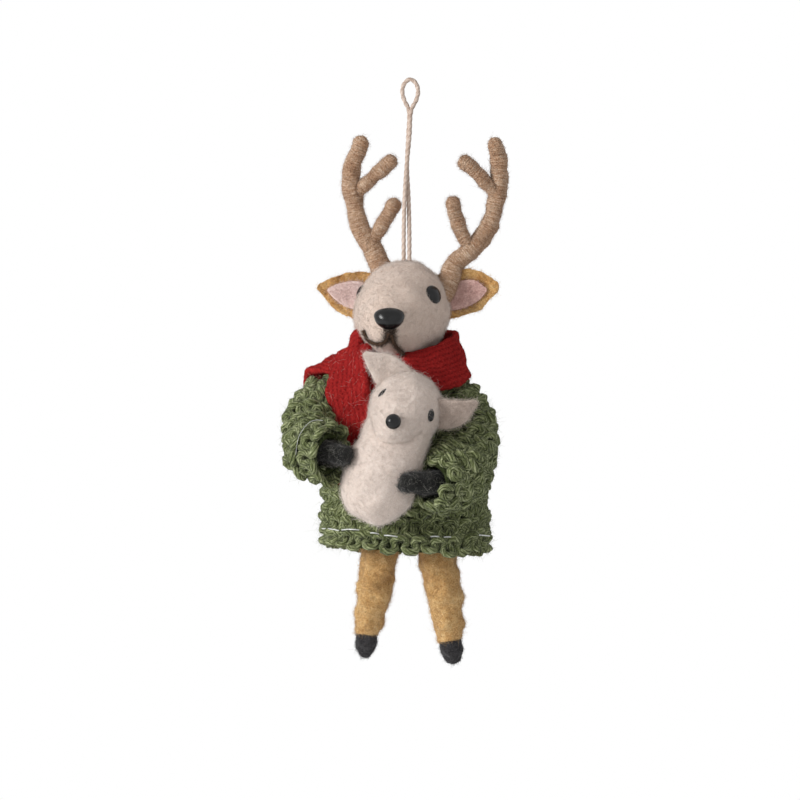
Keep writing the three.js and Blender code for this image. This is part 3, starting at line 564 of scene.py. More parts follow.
def rolled(points, widths, rings, around, flat=1.0, up=(0, 1, 0), domes=(1.0, 1.0), dome_rings=8,
           cup=0.0, cup_width=1.0, span=(0.0, 1.0)):
    """A roll along a curve: its radius follows widths, its ends are domes so many times
    as high as a half ball, flat is its thickness as a share of its width, and cup is the
    depth of the hollow of its face at half of cup_width."""
    place, way = spline(points, rings, *span)
    radius = along(widths, np.linspace(0, 1, rings))
    swing = np.linspace(0, np.pi / 2, dome_rings, endpoint=False)[1:]
    foot = place[0] - way[0] * (widths[0] * domes[0] * np.cos(swing))[:, None]
    top = place[-1] + way[-1] * (widths[-1] * domes[1] * np.cos(swing[::-1]))[:, None]
    way = np.vstack([0 * foot + way[0], way, 0 * top + way[-1]])
    radius = np.concatenate([radius[0] * np.sin(swing), radius, radius[-1] * np.sin(swing[::-1])])
    wide, thick = np.moveaxis(circle(around, radius), -1, 0)
    outline = np.stack([wide, thick * flat + cup * (2 * wide / cup_width) ** 2], -1)
    return grown(np.vstack([foot, place, top]), way, up, outline)


def wound(grid, pitch, height, seed):
    """The grid with a strand wound round it: a rounded ridge that climbs by the pitch
    in each turn, lies unevenly, and swells and thins along the roll."""
    turn = np.arange(grid.shape[1])[None] / grid.shape[1] + rumple(grid, 5, 0.35, seed)
    ridge = np.abs(np.sin(np.pi * (way_along(grid.mean(1))[:, None] / pitch + turn))) ** 0.7
    return uneven(grid, (6, 0.16, seed + 1), (1.6, 0.05, seed + 2), ridge=height * (ridge - 0.6))


def wrap_finish(name, slot, *stops):
    """Wound jute: fine strands lie across the roll, straw and brown by turns."""
    f = Finish(name, slot, 0.92, Sheen_Weight=0.15, Specular_IOR_Level=0.2)
    turn, run = f.along()
    lie = f.node("CombineXYZ", f.times(turn, 2.0), f.times(f.total(run, (turn, 1.0)), 1.35))
    strand = f.noise(1.6, 4.0, 0.7, lie.outputs[0])
    patch, fibre, grain = f.noise(180.0), f.noise(3000.0), f.noise(2900.0, 3.0, 0.8)
    f.colour(f.total(-0.475, (strand, 0.8), (patch, 0.3), (fibre, 0.25), (grain, 0.95)), *stops)
    f.bump(f.total(strand, (grain, 1.0), (fibre, 0.6)), 0.0004)
    return f


wrapped = wrap_finish("wound_jute", "jute", (0.43, "764a34"), (0.63, "be9473"), (0.78, "dec0a4"),
                      (0.94, "fcecda"))
antler_size = 44
beam = (np.array([1.3, 1.2, 1.04, 1.04, 0.98, 1.02, 0.95, 0.86]) * 2.75, 220, 5600)
tine = (np.array([0.9, 1, 1.0, 1.1]) * 2.15, 100, 2100)
antlers = {
    "right": ((-0.47, 0.24, 0.84), [
        [[0.034, -0.02, -0.09], [-0.03, 0, 0.01], [-0.08, 0, 0.118], [-0.15, 0, 0.235],
         [-0.198, 0.01, 0.357], [-0.222, 0.01, 0.495], [-0.245, 0, 0.62], [-0.222, -0.02, 0.75],
         [-0.168, -0.04, 0.878]],
        [[-0.215, 0.01, 0.525], [-0.13, -0.03, 0.6], [-0.035, -0.05, 0.69], [0.035, -0.07, 0.75]],
        [[-0.1, 0, 0.19], [-0.035, -0.04, 0.28], [0.02, -0.06, 0.375], [0.058, -0.08, 0.445]]]),
    "left": ((0.75, 0.2, 0.62), [
        [[0, -0.03, -0.11], [0.055, -0.01, 0.01], [0.1, 0, 0.118], [0.19, 0, 0.2],
         [0.29, 0.01, 0.305], [0.36, 0.01, 0.43], [0.39, 0.01, 0.57], [0.413, 0, 0.7],
         [0.41, -0.01, 0.83], [0.385, -0.03, 0.965]],
        [[0.395, 0, 0.6], [0.32, -0.03, 0.69], [0.24, -0.05, 0.78], [0.172, -0.06, 0.835]],
        [[0.19, 0, 0.25], [0.14, -0.04, 0.36], [0.107, -0.06, 0.46], [0.082, -0.08, 0.54]]])}
for side, (foot, branches) in antlers.items():
    for branch, shares, (widths, rings, stray_count) in zip(
            ["beam", "upper_tine", "lower_tine"], branches, [beam, tine, tine]):
        name = f"{side}_antler_{branch}"
        points = head.place(foot) + antler_size * np.array(shares)
        roll = wound(rolled(points, widths, rings, 30), 0.78, 0.22, len(side + branch))
        dress(tube(name, roll), wrapped, side + "_antler")
        fuzz(name + "_strays", roll, wrapped, stray_count, 1.0, len(branch), lift=0.7)


# Ears: leaves of tan felt 2 mm thick, hollowed towards the front, with a thinner leaf of
# pink felt needled into each. Their broad ends are sewn to the sides of the head. The left
# lining is the same pink, darkened as painted shade from the head and antler.
tan = felt_finish("tan_felt", "felt_tan", "aa743e", "d4a566", "f2d298", patchy=0.5)
tan_fibre = felt_finish("tan_fibre", "felt_tan", "b48248", "dcb272", "f8e0ae", patchy=0.5)
pink = felt_finish("pink_felt", "felt_pink", "e2c5be", "f8dfd9", "fef0eb")
# Painted shade: the lining's pink, darker, for the left ear that the head and antler shade.
pink_painted_shade = felt_finish("pink_felt_painted_shade", "felt_pink", "c69a91", "e2bcb3", "f0d4cb")
ear_length, ear_half, ear_thickness, ear_width = 19, 7.6, 2, 15.4
lining_length, lining_half, lining_thickness = 12.3, 4.5, 1
for side, foot, shares, widths, inset, lining_felt in [
        ("right", (-0.95, 0.36, 0.28),
         [[0.13, 0, -0.02], [-0.2, 0, 0.03], [-0.48, -0.05, 0.09], [-0.76, -0.12, 0.14]],
         [0.9, 0.99, 0.92, 0.74, 0.48, 0.13], (-1.9, -1.38, 0), pink),
        # The left lining takes the pink with painted shade.
        ("left", (0.93, 0.4, 0.33),
         [[-0.13, 0, -0.02], [0.22, 0, 0.06], [0.52, -0.05, 0.13], [0.81, -0.12, 0.17]],
         [0.93, 0.95, 0.94, 0.87, 0.65, 0.18], (1.9, -1.38, 0), pink_painted_shade)]:
    foot, shares, widths = head.place(foot), np.array(shares), np.array(widths)
    leaf = dict(domes=(0.5, 0.5), dome_rings=5, cup=-2.8, cup_width=ear_width)
    blade = rolled(foot + ear_length * shares, ear_half * widths, 60, 56,
                   flat=ear_thickness / ear_width, **leaf)
    felted(side + "_ear_felt", uneven(blade, (8, 0.22, 7), (2.2, 0.1, 8)), tan, side + "_ear",
           6500, 0.9, 9, tan_fibre)
    lining = rolled(foot + np.array(inset) + lining_length * shares, lining_half * widths, 50, 44,
                    flat=lining_thickness / (2 * lining_half), **leaf)
    felted(side + "_ear_lining_felt", uneven(lining, (5, 0.06, 10)), lining_felt,
           side + "_ear_lining", 2600, 1.0, 11)


# Eyes and nose: glossy black plastic domes, each on a stem that is pushed into the felt.
# The mouth is brown wool thread, laid on the muzzle and caught down under the nose.
def plain_finish(name, slot, roughness, noise, *stops, **shader):
    """One material all through, whose colour varies a little with the noise."""
    f = Finish(name, slot, roughness, **shader)
    f.colour(f.noise(*noise), *stops)
    return f


def dome_on(ball, way, half, taper=0.0, sink=0.0, blunt=1.0):
    """A flat bead, pressed into the ball by sink: its width narrows by taper towards its
    lower end, and its height z becomes z to the power of blunt."""
    out = ball.normal(way)
    x, y, z = np.moveaxis(Ball((0, 0, 0), (1, 1, 1)).grid(40, 60), -1, 0)
    z = np.sign(z) * np.abs(z) ** blunt
    bead = np.stack([x * (1 - taper * (1 - z) / 2), y, z], -1) * np.array(half)
    towards = Vector((0, -1, 0)).rotation_difference(Vector(out)).to_matrix()
    return bead @ np.array(towards).T + ball.place(way) - sink * out


glossy = plain_finish("black_plastic", "plastic_black", 0.25, (900.0, 3.0), (0.4, "09090a"),
                      (0.8, "141415"), Specular_IOR_Level=0.3)
for name, place, half, taper, sink, blunt in [
        ("nose", (-0.245, -0.185), (5.6, 3.4, 3.4), 0.36, 0.0, 0.84),
        ("right_eye", (-0.965, 0.43), (3, 1.7, 2.8), 0.0, 0.55, 1.0),
        ("left_eye", (0.665, 0.31), (3, 1.7, 3), 0.0, 0.4, 1.0)]:
    bead = dome_on(head, head.facing(*place), half, taper, sink, blunt)
    dress(tube(name + "_dome", bead), glossy, name)

thread_radius, thread_pitch, thread_rings, thread_height = 0.52, 2.4, 70, 0.62
brown = yarn_finish("brown_thread_wool", "thread_brown", "32251c", "5c4433", "8a705a", plies=2,
                    pitch=thread_pitch, groove=0.0002)
mouth = {"right": [[-0.75, -0.41], [-0.67, -0.58], [-0.48, -0.68], [-0.32, -0.63], [-0.25, -0.47]],
         "left": [[-0.2, -0.5], [-0.15, -0.66], [-0.02, -0.82], [0.1, -0.93], [0.17, -0.985]]}
for side, shares in mouth.items():
    points = [head.place(head.facing(*share), thread_height) for share in shares]
    line, way = spline(points, thread_rings)
    outline = two_ply(thread_rings, thread_radius, thread_pitch, way_along(line)[-1])
    thread = grown(line, way, (0, 1, 0), outline)
    dress(tube(side + "_mouth_line", thread), brown, side + "_mouth_thread")
    fuzz(side + "_mouth_fuzz", thread, brown, 1250, 0.9, 12, lift=1.1)
patch_hairs, dice = 800, np.random.default_rng(13)
patch_x = dice.normal(-0.245, 0.058, patch_hairs)
patch_z = dice.uniform(-0.6, -0.36, patch_hairs)
patch_ways = np.array([head.facing(x, z) for x, z in zip(patch_x, patch_z)])
patch_rise = np.array([head.normal(way) for way in patch_ways])[:, None]
patch_lean = unit(np.cross(patch_rise, dice.normal(size=(patch_hairs, 1, 3))))
patch_run = dice.uniform(0.4, 1.3, (patch_hairs, 1, 1))
patch_bend = dice.normal(size=(patch_hairs, 1, 1))
dress(hairs("mouth_patch", head.place(patch_ways)[:, None] + 0.45 * patch_rise, patch_rise,
            patch_lean, patch_run, 0.3, patch_bend, 0.1), brown)


# Scarf: a strip of fine red stockinette, 14.5 mm wide, felted a little. It rises from its
# front tail, goes once round the neck, and its other tail falls over the right shoulder.
def ribbon(centres, acrosses, width, thickness, rings, over):
    """A strip with rounded edges, carried along its centres with its width along the
    acrosses, and how far each of its corners is from its middle line. over is the number
    of places over each face."""
    place, way = spline(centres, rings)
    fine, run = curve(acrosses)
    lie = read_at(np.linspace(0, 1, 200) * run[-1], run, fine)
    lie = read_at(np.linspace(0, 1, rings), np.linspace(0, 1, 200), lie)
    lie = unit(lie - (lie * way).sum(-1, keepdims=True) * way)
    face = np.cross(way, lie)
    flat = (width - thickness) / 2
    bend = np.linspace(-np.pi / 2, np.pi / 2, 9)
    row = np.linspace(-flat, flat, over)[1:-1]
    edge = flat + thickness / 2 * np.cos(bend)
    edge = np.concatenate([row, edge, row[::-1], -edge])
    rise = np.concatenate([0 * row - 1, np.sin(bend), 0 * row + 1, -np.sin(bend)]) * thickness / 2
    return (place[:, None] + lie[:, None] * edge[None, :, None]
            + face[:, None] * rise[None, :, None], edge)


def knit_finish(name, slot, dark, mid, light):
    """Fine stockinette, brushed: columns of slanting stitches that meet in a V, softened
    and set a little unevenly. Its colour is lighter on the columns and stitches, with painted
    shade between them and most in the hole between each stitch and the next."""
    f = Finish(name, slot, 1.0, Specular_IOR_Level=0.03)
    rib_place, run = f.along()
    sway = f.total(-0.75, (f.noise(300.0, 2.0), 1.5))
    across = f.math("PINGPONG", f.math("ADD", rib_place, sway), 0.5)
    climb = f.total(sway, (run, 1 / 1.3), (across, 1.5))
    stitch = f.math("POWER", f.math("ABSOLUTE", f.math("SINE", f.times(climb, np.pi))), 0.6)
    column = f.math("POWER", f.math("SINE", f.times(across, np.pi)), 0.5)
    hole = f.math("MULTIPLY", f.math("SUBTRACT", 1.0, stitch), f.math("SUBTRACT", 1.0, column))
    fibre = f.noise(3000.0, 3.0, 0.7)
    # Painted shade: darker between the columns and stitches, darkest in the holes.
    f.colour(f.total(0.0, (column, 0.13), (stitch, 0.08), (hole, -0.22), (fibre, 0.75),
                     (f.noise(150.0), 0.25)),
             (0.34, dark), (0.66, mid), (0.92, light))
    f.bump(f.total(0.0, (column, 0.35), (stitch, 0.35), (fibre, 0.6), (hole, -0.5)), 0.00022, 0.7)
    return f


red = knit_finish("red_stockinette", "knit_red", "541314", "962222", "c2403b")
red_down = felt_finish("red_down", "knit_red", "701c1c", "a82e2c", "d45e56", sheen=0.05)
scarf_width, scarf_thickness, rib = 14.5, 2.2, 1.55
neck_sizes = np.array([25.49, 20.1, 52])
scarf_runs = [
    ([[-0.56, -0.62, 1.225], [-0.7, -0.1, 1.165], [-0.48, 0.5, 1.18], [0, 0.69, 1.195],
      [0.48, 0.5, 1.195], [0.69, -0.05, 1.185], [0.56, -0.6, 1.13], [0.17, -0.88, 1.08],
      [-0.25, -0.86, 1.09]],
     [[0.25, 0.2, 0.95], [0.33, 0.05, 0.94], [0.24, -0.24, 0.94], [0, -0.28, 0.96],
      [-0.24, -0.24, 0.94], [-0.3, 0.03, 0.95], [-0.22, 0.25, 0.95], [-0.1, 0.3, 0.95],
      [0.1, 0.35, 0.93]], 220),
    ([[-0.6, -0.5, 1.22], [-0.68, -0.74, 1.1], [-0.69, -0.9, 0.98], [-0.65, -0.95, 0.83],
      [-0.64, -0.95, 0.65], [-0.71, -0.91, 0.52], [-0.76, -0.87, 0.41]],
     [[-0.66, -0.1, -0.74], [-0.8, 0.3, -0.5], [-0.84, 0.48, -0.2]] + 4 * [[-0.84, 0.54, 0]],
     110),
    ([[-0.1, -0.88, 1.085], [-0.48, -0.72, 1.12], [-0.77, -0.25, 1.155], [-0.96, 0.27, 1.11],
      [-0.96, 0.62, 0.88], [-0.92, 0.74, 0.68]],
     [[0.05, 0.35, 0.93], [0.35, 0.45, 0.8], [0.8, 0.25, 0.42], [0.93, 0, 0.42],
      [0.96, 0.25, 0.1], [0.94, 0.3, 0]], 120)]
strips, scarf_length = [], 0.0
for i, (centres, acrosses, rings) in enumerate(scarf_runs):
    cloth, edge = ribbon(np.array(centres) * neck_sizes, acrosses, scarf_width, scarf_thickness,
                         rings, 46)
    ridge = 0.09 * (np.abs(np.sin(np.pi * edge / rib)) ** 0.6 - 0.6)
    strips.append((uneven(cloth, (9, 0.25, 20 + i), (3, 0.08, 30 + i), ridge=ridge), edge / rib))
    scarf_length += way_along(strips[-1][0].mean(1))[-1]


def joined_strips(name, strips):
    """One mesh of closed strips. The UV counts the ribs across and the mm along."""
    corners, faces, uvs = [], [], []
    for grid, ribs in strips:
        strip_corners, strip_faces = closed_tube(grid)
        run = way_along(grid.mean(1))
        across = np.concatenate([np.tile(ribs, len(run)), [0, 0]])
        down = np.concatenate([np.repeat(run, len(ribs)), [0, run[-1]]])
        uvs.append(np.stack([across, down], -1)[strip_faces])
        faces.append(strip_faces + sum(map(len, corners)))
        corners.append(strip_corners)
    return mesh_of(name, np.vstack(corners), np.vstack(faces), np.vstack(uvs))


scarf = dress(joined_strips("scarf_strip", strips), red, "scarf")
scarf_fuzz = [fuzz(f"scarf_fuzz_{i}", strips[i][0], red_down, fibres, 0.8, 40 + i, lift=0.6,
                   curl=1.1)
              for i, fibres in enumerate((11000, 5000, 4500))]


# Jumper: chunky garter stitch in three-ply green wool, 2 mm thick, knitted round and
# round from the hem to the neck over a felted torso. Its hem hangs lower on one side.
torso_foot, torso_height, torso_wide, torso_deep = 5, 47, 20.5, 15
shoulder_height, slack = 54.7, 5.4


def torso_half(z):
    """Half width and half depth of the torso at each height, the same curve for both."""
    share = np.clip((np.asarray(z, float) - torso_foot) / torso_height, 0, 1)
    curved = along([0.86, 0.96, 1, 0.99, 0.94, 0.84, 0.6], share)
    return np.stack([torso_wide * curved, torso_deep * curved])


side_rings, shoulder_rings = 60, 12
swing = np.concatenate([np.zeros(side_rings), np.linspace(0, 1, shoulder_rings + 1)[1:]])
profile_z = np.concatenate([np.linspace(0, shoulder_height, side_rings),
                            np.full(shoulder_rings, shoulder_height)])
profile_half = (torso_half(np.maximum(profile_z, 16.75)) + slack) * (1 - 0.55 * swing)
profile = np.stack([*profile_half, profile_z + 3.2 * np.sin(swing * np.pi / 2)], -1)
profile_run = way_along(profile[:, ::2])
hem_x = [-26, -21, -12, -2, 3, 8, 17.5, 24, 26]
hem_z = [2.2, 0.7, 0.0, -0.9, -1.2, -1.1, -1.9, -0.9, 1.0]
hem_fade = 24


def jumper_at(turn, share, out):
    """Places on the jumper: turn is how far round it, share how far up its profile, out how
    far off. The angle is 2 pi turn less 0.05 sin(4 pi turn), so that stitches at the sides
    are narrower, and the hem's droop fades out with height."""
    angle = turn * 2 * np.pi
    angle = angle - 0.05 * np.sin(2 * angle)
    wide, deep, z = np.moveaxis(read_at(share * profile_run[-1], profile_run, profile), -1, 0)
    above = read_at(np.minimum(share + 0.01, 1) * profile_run[-1], profile_run, profile)
    round_it = np.stack([np.cos(angle), np.sin(angle), 1 + 0 * angle], -1)
    here = np.stack([wide, deep, z], -1) * round_it
    side = np.stack([-wide * np.sin(angle), deep * np.cos(angle), 0 * z], -1)
    place = here + unit(np.cross(side, above * round_it - here)) * out[..., None]
    place[..., 2] += np.clip(1 - z / hem_fade, 0, 1) * np.interp(place[..., 0], hem_x, hem_z)
    return place


def wander(count, every, amount, dice):
    """A value at each step that drifts at random, with a new aim at every so many steps."""
    aims = dice.normal(size=(count // every + 2, 3)) * amount
    t = np.arange(count) / every
    i = t.astype(int)
    s = (t - i)[:, None]
    return aims[i] + (aims[i + 1] - aims[i]) * s * s * (3 - 2 * s)


def garter(stitches, rows, steps, stitch_width, row_height, seed):
    """The path of one yarn in garter stitch: stitches along, rows up and mm off the
    cloth's middle. Every stitch is a loop that leans back under the row above, and the
    rows show their fronts and their backs by turns."""
    count = stitches * rows * steps
    t = np.arange(count) / steps
    phase = 2 * np.pi * t
    row = t / stitches
    side = np.where(row.astype(int) % 2 == 0, 1.0, -1.0)
    width = 2 * steps + 1
    side = np.convolve(np.pad(side, steps, mode="edge"), np.ones(width) / width, "valid")
    dice = np.random.default_rng(seed)
    drift = wander(count, steps // 2, 0.38, dice) + wander(count, steps * 3, 0.5, dice)
    x = t + (0.95 * np.sin(2 * phase) + drift[:, 0]) / stitch_width
    y = row - (2.15 * np.cos(phase) + drift[:, 1]) / row_height
    z = side * (0.6 + 0.75 * np.cos(2 * phase)) + 0.9 * drift[:, 2]
    return x, y, z


yarn_width, twist, stitch_steps = 2.45, 11.0, 12


def yarn_on(cloth, turn, share, off, seed, around=12):
    """A three-ply yarn, unevenly spun, that lies on the cloth's surface at these places.
    Gives its closed grid and the way along it in mm."""
    path = cloth(turn, share, off)
    way, out = unit(np.gradient(path, axis=0)), unit(cloth(turn, share, off + 1) - path)
    across = unit(np.cross(out, way))
    run = way_along(path)
    angle = np.arange(around)[None] / around * 2 * np.pi
    lobe = np.abs(np.cos(1.5 * (angle - run[:, None] / twist * 2 * np.pi)))
    spun = 1 + wander(len(path), 9, 0.13, np.random.default_rng(seed))[:, :1]
    radius = yarn_width / 2 * (0.84 + 0.16 * lobe) * spun
    outline = radius[..., None] * np.stack([np.cos(angle), np.sin(angle)], -1)
    return path[:, None] + outline[..., :1] * across[:, None] + (
        outline[..., 1:] * np.cross(way, across)[:, None]), run


green = yarn_finish("green_wool", "knit_green", "242a16", "6a7348", "c8cea0", plies=6, pitch=twist,
                    groove=0.00035)
green_down = felt_finish("green_down", "knit_green", "545c3a", "929a74", "ced4b8")
green_strays = felt_finish("green_strays", "knit_green", "94987e", "c0c4ac", "e2e4d2")


def knitted(name, node, yarn, run, down, strays, seed, stray_seed):
    """The yarn with its soft down, and with fewer, longer strays that curl off it."""
    dress(tube(name + "_knit", yarn, run), green, node)
    fuzz(name + "_fuzz", yarn, green_down, down, 1.5, seed, 0.055, 0.8, 1.2)
    fuzz(name + "_strays", yarn, green_strays, strays, 3.8, stray_seed, 0.034, 0.7, 0.9, bends=3)


stitches, rows, stitch_width, row_height = 29, 23, 4.75, 2.83
x, y, z = garter(stitches, rows, stitch_steps, stitch_width, row_height, 50)
share = np.clip((y + 0.6) / (rows + 0.2), 0, 1)
yarn, run = yarn_on(jumper_at, x / stitches, share, z - 1.1, 51)
knitted("jumper", "jumper_body", yarn, run, 19500, 420, 52, 54)
fuzz("hem_fuzz", yarn[:len(yarn) // 9], green_down, 4000, 1.6, 53, 0.055, 0.9, 1.3)


# Sewing threads: a running stitch of silver thread goes round above the hem, and a stray
# white thread lies on the right sleeve, left over from the sewing.
def thread_on(name, line, thickness, finish):
    place, way = spline(line, 40)
    outline = circle(8, np.full(40, thickness / 2))
    return dress(tube(name, grown(place, way, (0, 1, 0), outline)), finish)


silver = plain_finish("silver_thread", "knit_green", 0.35, (900.0, 2.0), (0.3, "c4c6c4"),
                      (0.7, "eceeec"), Specular_IOR_Level=0.8, Sheen_Weight=0.2)
turn, level = np.meshgrid(np.linspace(0.5, 1, 300), np.linspace(0, 0.3, 60))
front = jumper_at(turn, level, 0 * turn + 0.9).reshape(-1, 3)
for i, (from_x, from_z, to_x, to_z) in enumerate([
        (-25.8, 7.4, -20.4, 7.1), (-19.6, 7.3, -14.1, 7.4), (-10.9, 6.5, -7.9, 6.2),
        (-6.4, 5.8, -1.6, 5.2), (8.0, 5.4, 11.1, 5.2), (11.7, 5.1, 14.8, 5.1),
        (21.3, 5.6, 26.4, 5.0)]):
    x = np.linspace(from_x, to_x, 5)
    z = np.linspace(from_z, to_z, 5) + 0.12 * np.array([-1, 0.6, 1, 0.4, -1])
    near = np.argmin((front[:, :1] - x) ** 2 + (front[:, 2:] - z) ** 2, 0)
    y = front[near, 1] - np.array([-0.2, 0.7, 0.9, 0.7, -0.2])
    thread_on(f"hem_stitch_{i}", np.stack([x, y, z], -1), 0.4, silver)


# Lining: behind the stitches, the jumper's inner face is the same wool, felted flat and
# open at the hem. It is coloured dark green, as painted shade in the gaps between the stitches.
def hoop(name, grid):
    """A closed mesh of rings that ends where it starts, with its faces turned outwards."""
    faces = ring_faces(len(grid), grid.shape[1], len(grid))
    corners = grid.reshape(-1, 3)
    a, b, c = (corners[faces[:, n]] for n in range(3))
    return mesh_of(name, corners, faces if np.sum(a * np.cross(b, c)) > 0 else faces[:, ::-1])


# Painted shade: the inner face's wool drawn much darker than the green, for the shade seen between
# the stitches.
lining_painted_shade = plain_finish("dark_green_painted_shade", "knit_green", 1.0, (1200.0, 3.0), (0.3, "222816"),
                       (0.7, "424a2c"), Specular_IOR_Level=0.05)
turn, climb = np.meshgrid(np.arange(96) / 96, np.concatenate([
    np.linspace(0.02, 1, 70), np.linspace(1, 0.02, 40)]))
depth = np.repeat([-2.3, -3.9], [70, 40])[:, None] + 0 * turn
dress(hoop("jumper_lining", jumper_at(turn, climb, depth)), lining_painted_shade, "jumper_body")


# Torso: a felted core, 47 mm high, that carries the neck. It shows only through the hem,
# as tan felt between the legs.
neck_radius, neck_foot, neck_height = 6.4, 52.5, 9
height = torso_foot + torso_height * np.linspace(0, 1, 30)
half, neck = torso_half(height), np.linspace(0, 1, 12)
wide, deep = np.hstack([half[:, :1] * 0.5, half * 0.985, neck_radius + 0 * np.stack([neck, neck])])
height = np.concatenate([[torso_foot - 0.1], height, neck_foot + neck_height * neck])
angle = np.arange(72)[None] / 72 * 2 * np.pi
core = np.stack([wide[:, None] * np.cos(angle), deep[:, None] * np.sin(angle),
                 height[:, None] + 0 * angle], -1)
felted("torso_felt", uneven(core, (9, 0.2, 60)), tan, "torso", 500, 1.2, 61)


# Arms: felt on one bent wire that goes through the torso, in knitted sleeves sewn to the
# shoulders. The black felted hands come out of the rolled cuffs and lie on the fawn.
black = felt_finish("black_felt", "felt_black", "0a0a0a", "1b1b19", "3c3c38")
ash = felt_finish("ash_strays", "felt_black", "605e58", "96938c", "c4c0b8")
shoulder_x, shoulder_z, arm_radius = 13.76, 49.18, 3.6
sleeve_stitches, sleeve_stitch, sleeve_row = 10, 4.9, 2.8
for side, hand, reach, shares, widths, cuff, palm_end, palm_dome, wisps in [
        ("right", -1, 56,
         [[0.014, 0, 0.014], [-0.125, -0.06, -0.03], [-0.25, -0.17, -0.1], [-0.275, -0.34, -0.228],
          [-0.24, -0.49, -0.298], [-0.15, -0.59, -0.33], [-0.066, -0.625, -0.343]],
         (6.9, 1.6, 0), 0.87, 0.975, 0.8, 260),
        ("left", 1, 62,
         [[-0.013, 0, 0.013], [0.055, -0.065, -0.07], [0.108, -0.177, -0.2],
          [0.075, -0.323, -0.338], [-0.008, -0.452, -0.418], [-0.118, -0.565, -0.442],
          [-0.2, -0.62, -0.437]],
         (6.3, 1.8, 1.3), 0.84, 1.0, 1.0, 130)]:
    line = np.array([hand * shoulder_x, 0, shoulder_z]) + reach * np.array(shares)
    arm = rolled(line, [arm_radius, arm_radius], 60, 24, up=(0, 0, 1), span=(0.0, 0.7))
    dress(tube(side + "_arm_felt", uneven(arm, (5, 0.15, 62))), cream, side + "_arm")
    palm = rolled(line + np.array([0, 0, 0.5]), [3.4, 3.5, 3.3], 60, 48, up=(0, 0, 1),
                  span=(0.72, palm_end), domes=(0, palm_dome))
    felted(side + "_hand_felt", uneven(palm, (6, 0.22, 63), (2, 0.1, 64)), black, side + "_hand",
           3200, 1.2, 65, strays=ash)
    fuzz(side + "_hand_wisps", palm, ash, wisps, 2.4, 66, lift=0.6, curl=1.3, bends=2)

    path, way = spline(line, 400)
    arm_frame = np.hstack([path, *carried_frames(way, (0, 0, 1)), way])
    length = way_along(path)[-1]

    def sleeve_at(turn, share, off):
        """Places on the sleeve: turn is how far round it, share how far down the arm, from
        a little before its start, and off how far off. It widens by slope and by bulge
        sin(pi share)."""
        past, share = np.clip(share, None, 0)[..., None] * length, np.clip(share, 0, 1)
        at = read_at(share * (len(path) - 1), np.arange(len(path)), arm_frame)
        place, across, out, down = np.split(at, 4, -1)
        start, slope, bulge = widths
        radius = (start + slope * share + bulge * np.sin(np.pi * share) + off)[..., None]
        angle = turn[..., None] * 2 * np.pi
        return place + past * down + radius * (across * np.cos(angle) + out * np.sin(angle))

    rows = int(round(length * (cuff + 0.02) / sleeve_row))
    x, y, z = garter(sleeve_stitches, rows, stitch_steps, sleeve_stitch, sleeve_row,
                     70 + reach)
    share = -0.02 + (cuff + 0.02) * y / rows
    yarn, run = yarn_on(sleeve_at, x / sleeve_stitches, share, z - 0.8, 71)
    knitted(side + "_sleeve", side + "_sleeve", yarn, run, 9200, 170, 72, 73)
    # The sleeve's lining also takes the dark green of painted shade.
    turn, climb = np.meshgrid(np.arange(40) / 40, np.concatenate([
        np.linspace(0, cuff, 50), np.linspace(cuff, cuff - 0.08, 8)]))
    depth = np.concatenate([np.full(50, -1.9), np.linspace(-3, -4.6, 8)])[:, None] + 0 * turn
    dress(tube(side + "_sleeve_lining", sleeve_at(turn, climb, depth)), lining_painted_shade, side + "_sleeve")
    if side == "right":
        cloth = yarn.reshape(-1, 3)
        x = np.array([-33.6, -33.0, -32.1, -29.5, -27.3, -25.2])
        z = np.array([31.1, 35.4, 37.7, 40.9, 41.7, 41.5])
        near = (cloth[:, :1] - x) ** 2 + (cloth[:, 2:] - z) ** 2 < 1.6
        y = np.where(near, cloth[:, 1:2], 9).min(0)
        line = np.stack([x, np.minimum(y, y.mean() + 1) - 0.1, z], -1)
        thread_on("sleeve_thread", line, 0.13, silver)


# Fawn: pale felt, glued to the jumper under the hands. Its head is a ball with a short
# muzzle, a black bead for a nose, two small beads half sunk in the felt, and felt ears. The
# left ear's felt is darkened as painted shade.
pale = felt_finish("pale_felt", "felt_pale", "d4c3b7", "e2d2c7", "eee2d9")
pale_fibre = felt_finish("pale_fibre", "felt_pale", "decfc4", "ece0d7", "f8f1ec", sheen=0.4)
# Painted shade: a darker copy of the pale felt, for the left ear that lies in the head's shade.
pale_painted_shade = felt_finish("pale_felt_painted_shade", "felt_pale", "b09e92", "c4b2a6", "d6c6bb")
fawn_foot, fawn_lean = np.array([-8.405, -29.2, 20.75]), unit(np.array([0.335, 0.03, 0.94]))
fawn_radius, fawn_neck = 11.35, 25.55
trunk = rolled(fawn_foot + np.array([[0], [9.1], [18.2]]) * fawn_lean,
               np.array([1, 1.03, 1, 0.95, 0.9]) * fawn_radius, 60, 110, flat=0.92,
               dome_rings=24)
felted("fawn_body_felt", uneven(trunk, (10, 0.18, 80), (3, 0.05, 81)), pale,
                 "fawn_body", 14500, 1.3, 82, pale_fibre)
fawn_head = Ball(fawn_foot + fawn_neck * fawn_lean, (11.03, 10.19, 11.76),
                 [((0, -1, -0.35), 2.56, 3), ((0, -1, -1.1), 3.2, 5)], turned(26, -6))
fawn_skin = uneven(fawn_head.grid(90, 120), (9, 0.14, 83), (3, 0.05, 84))
felted("fawn_head_felt", fawn_skin, pale, "fawn_head", 13000, 1.3, 85, pale_fibre)
fawn_ear_length, fawn_ear_half, fawn_ear_thickness = 14.5, 5.25, 3
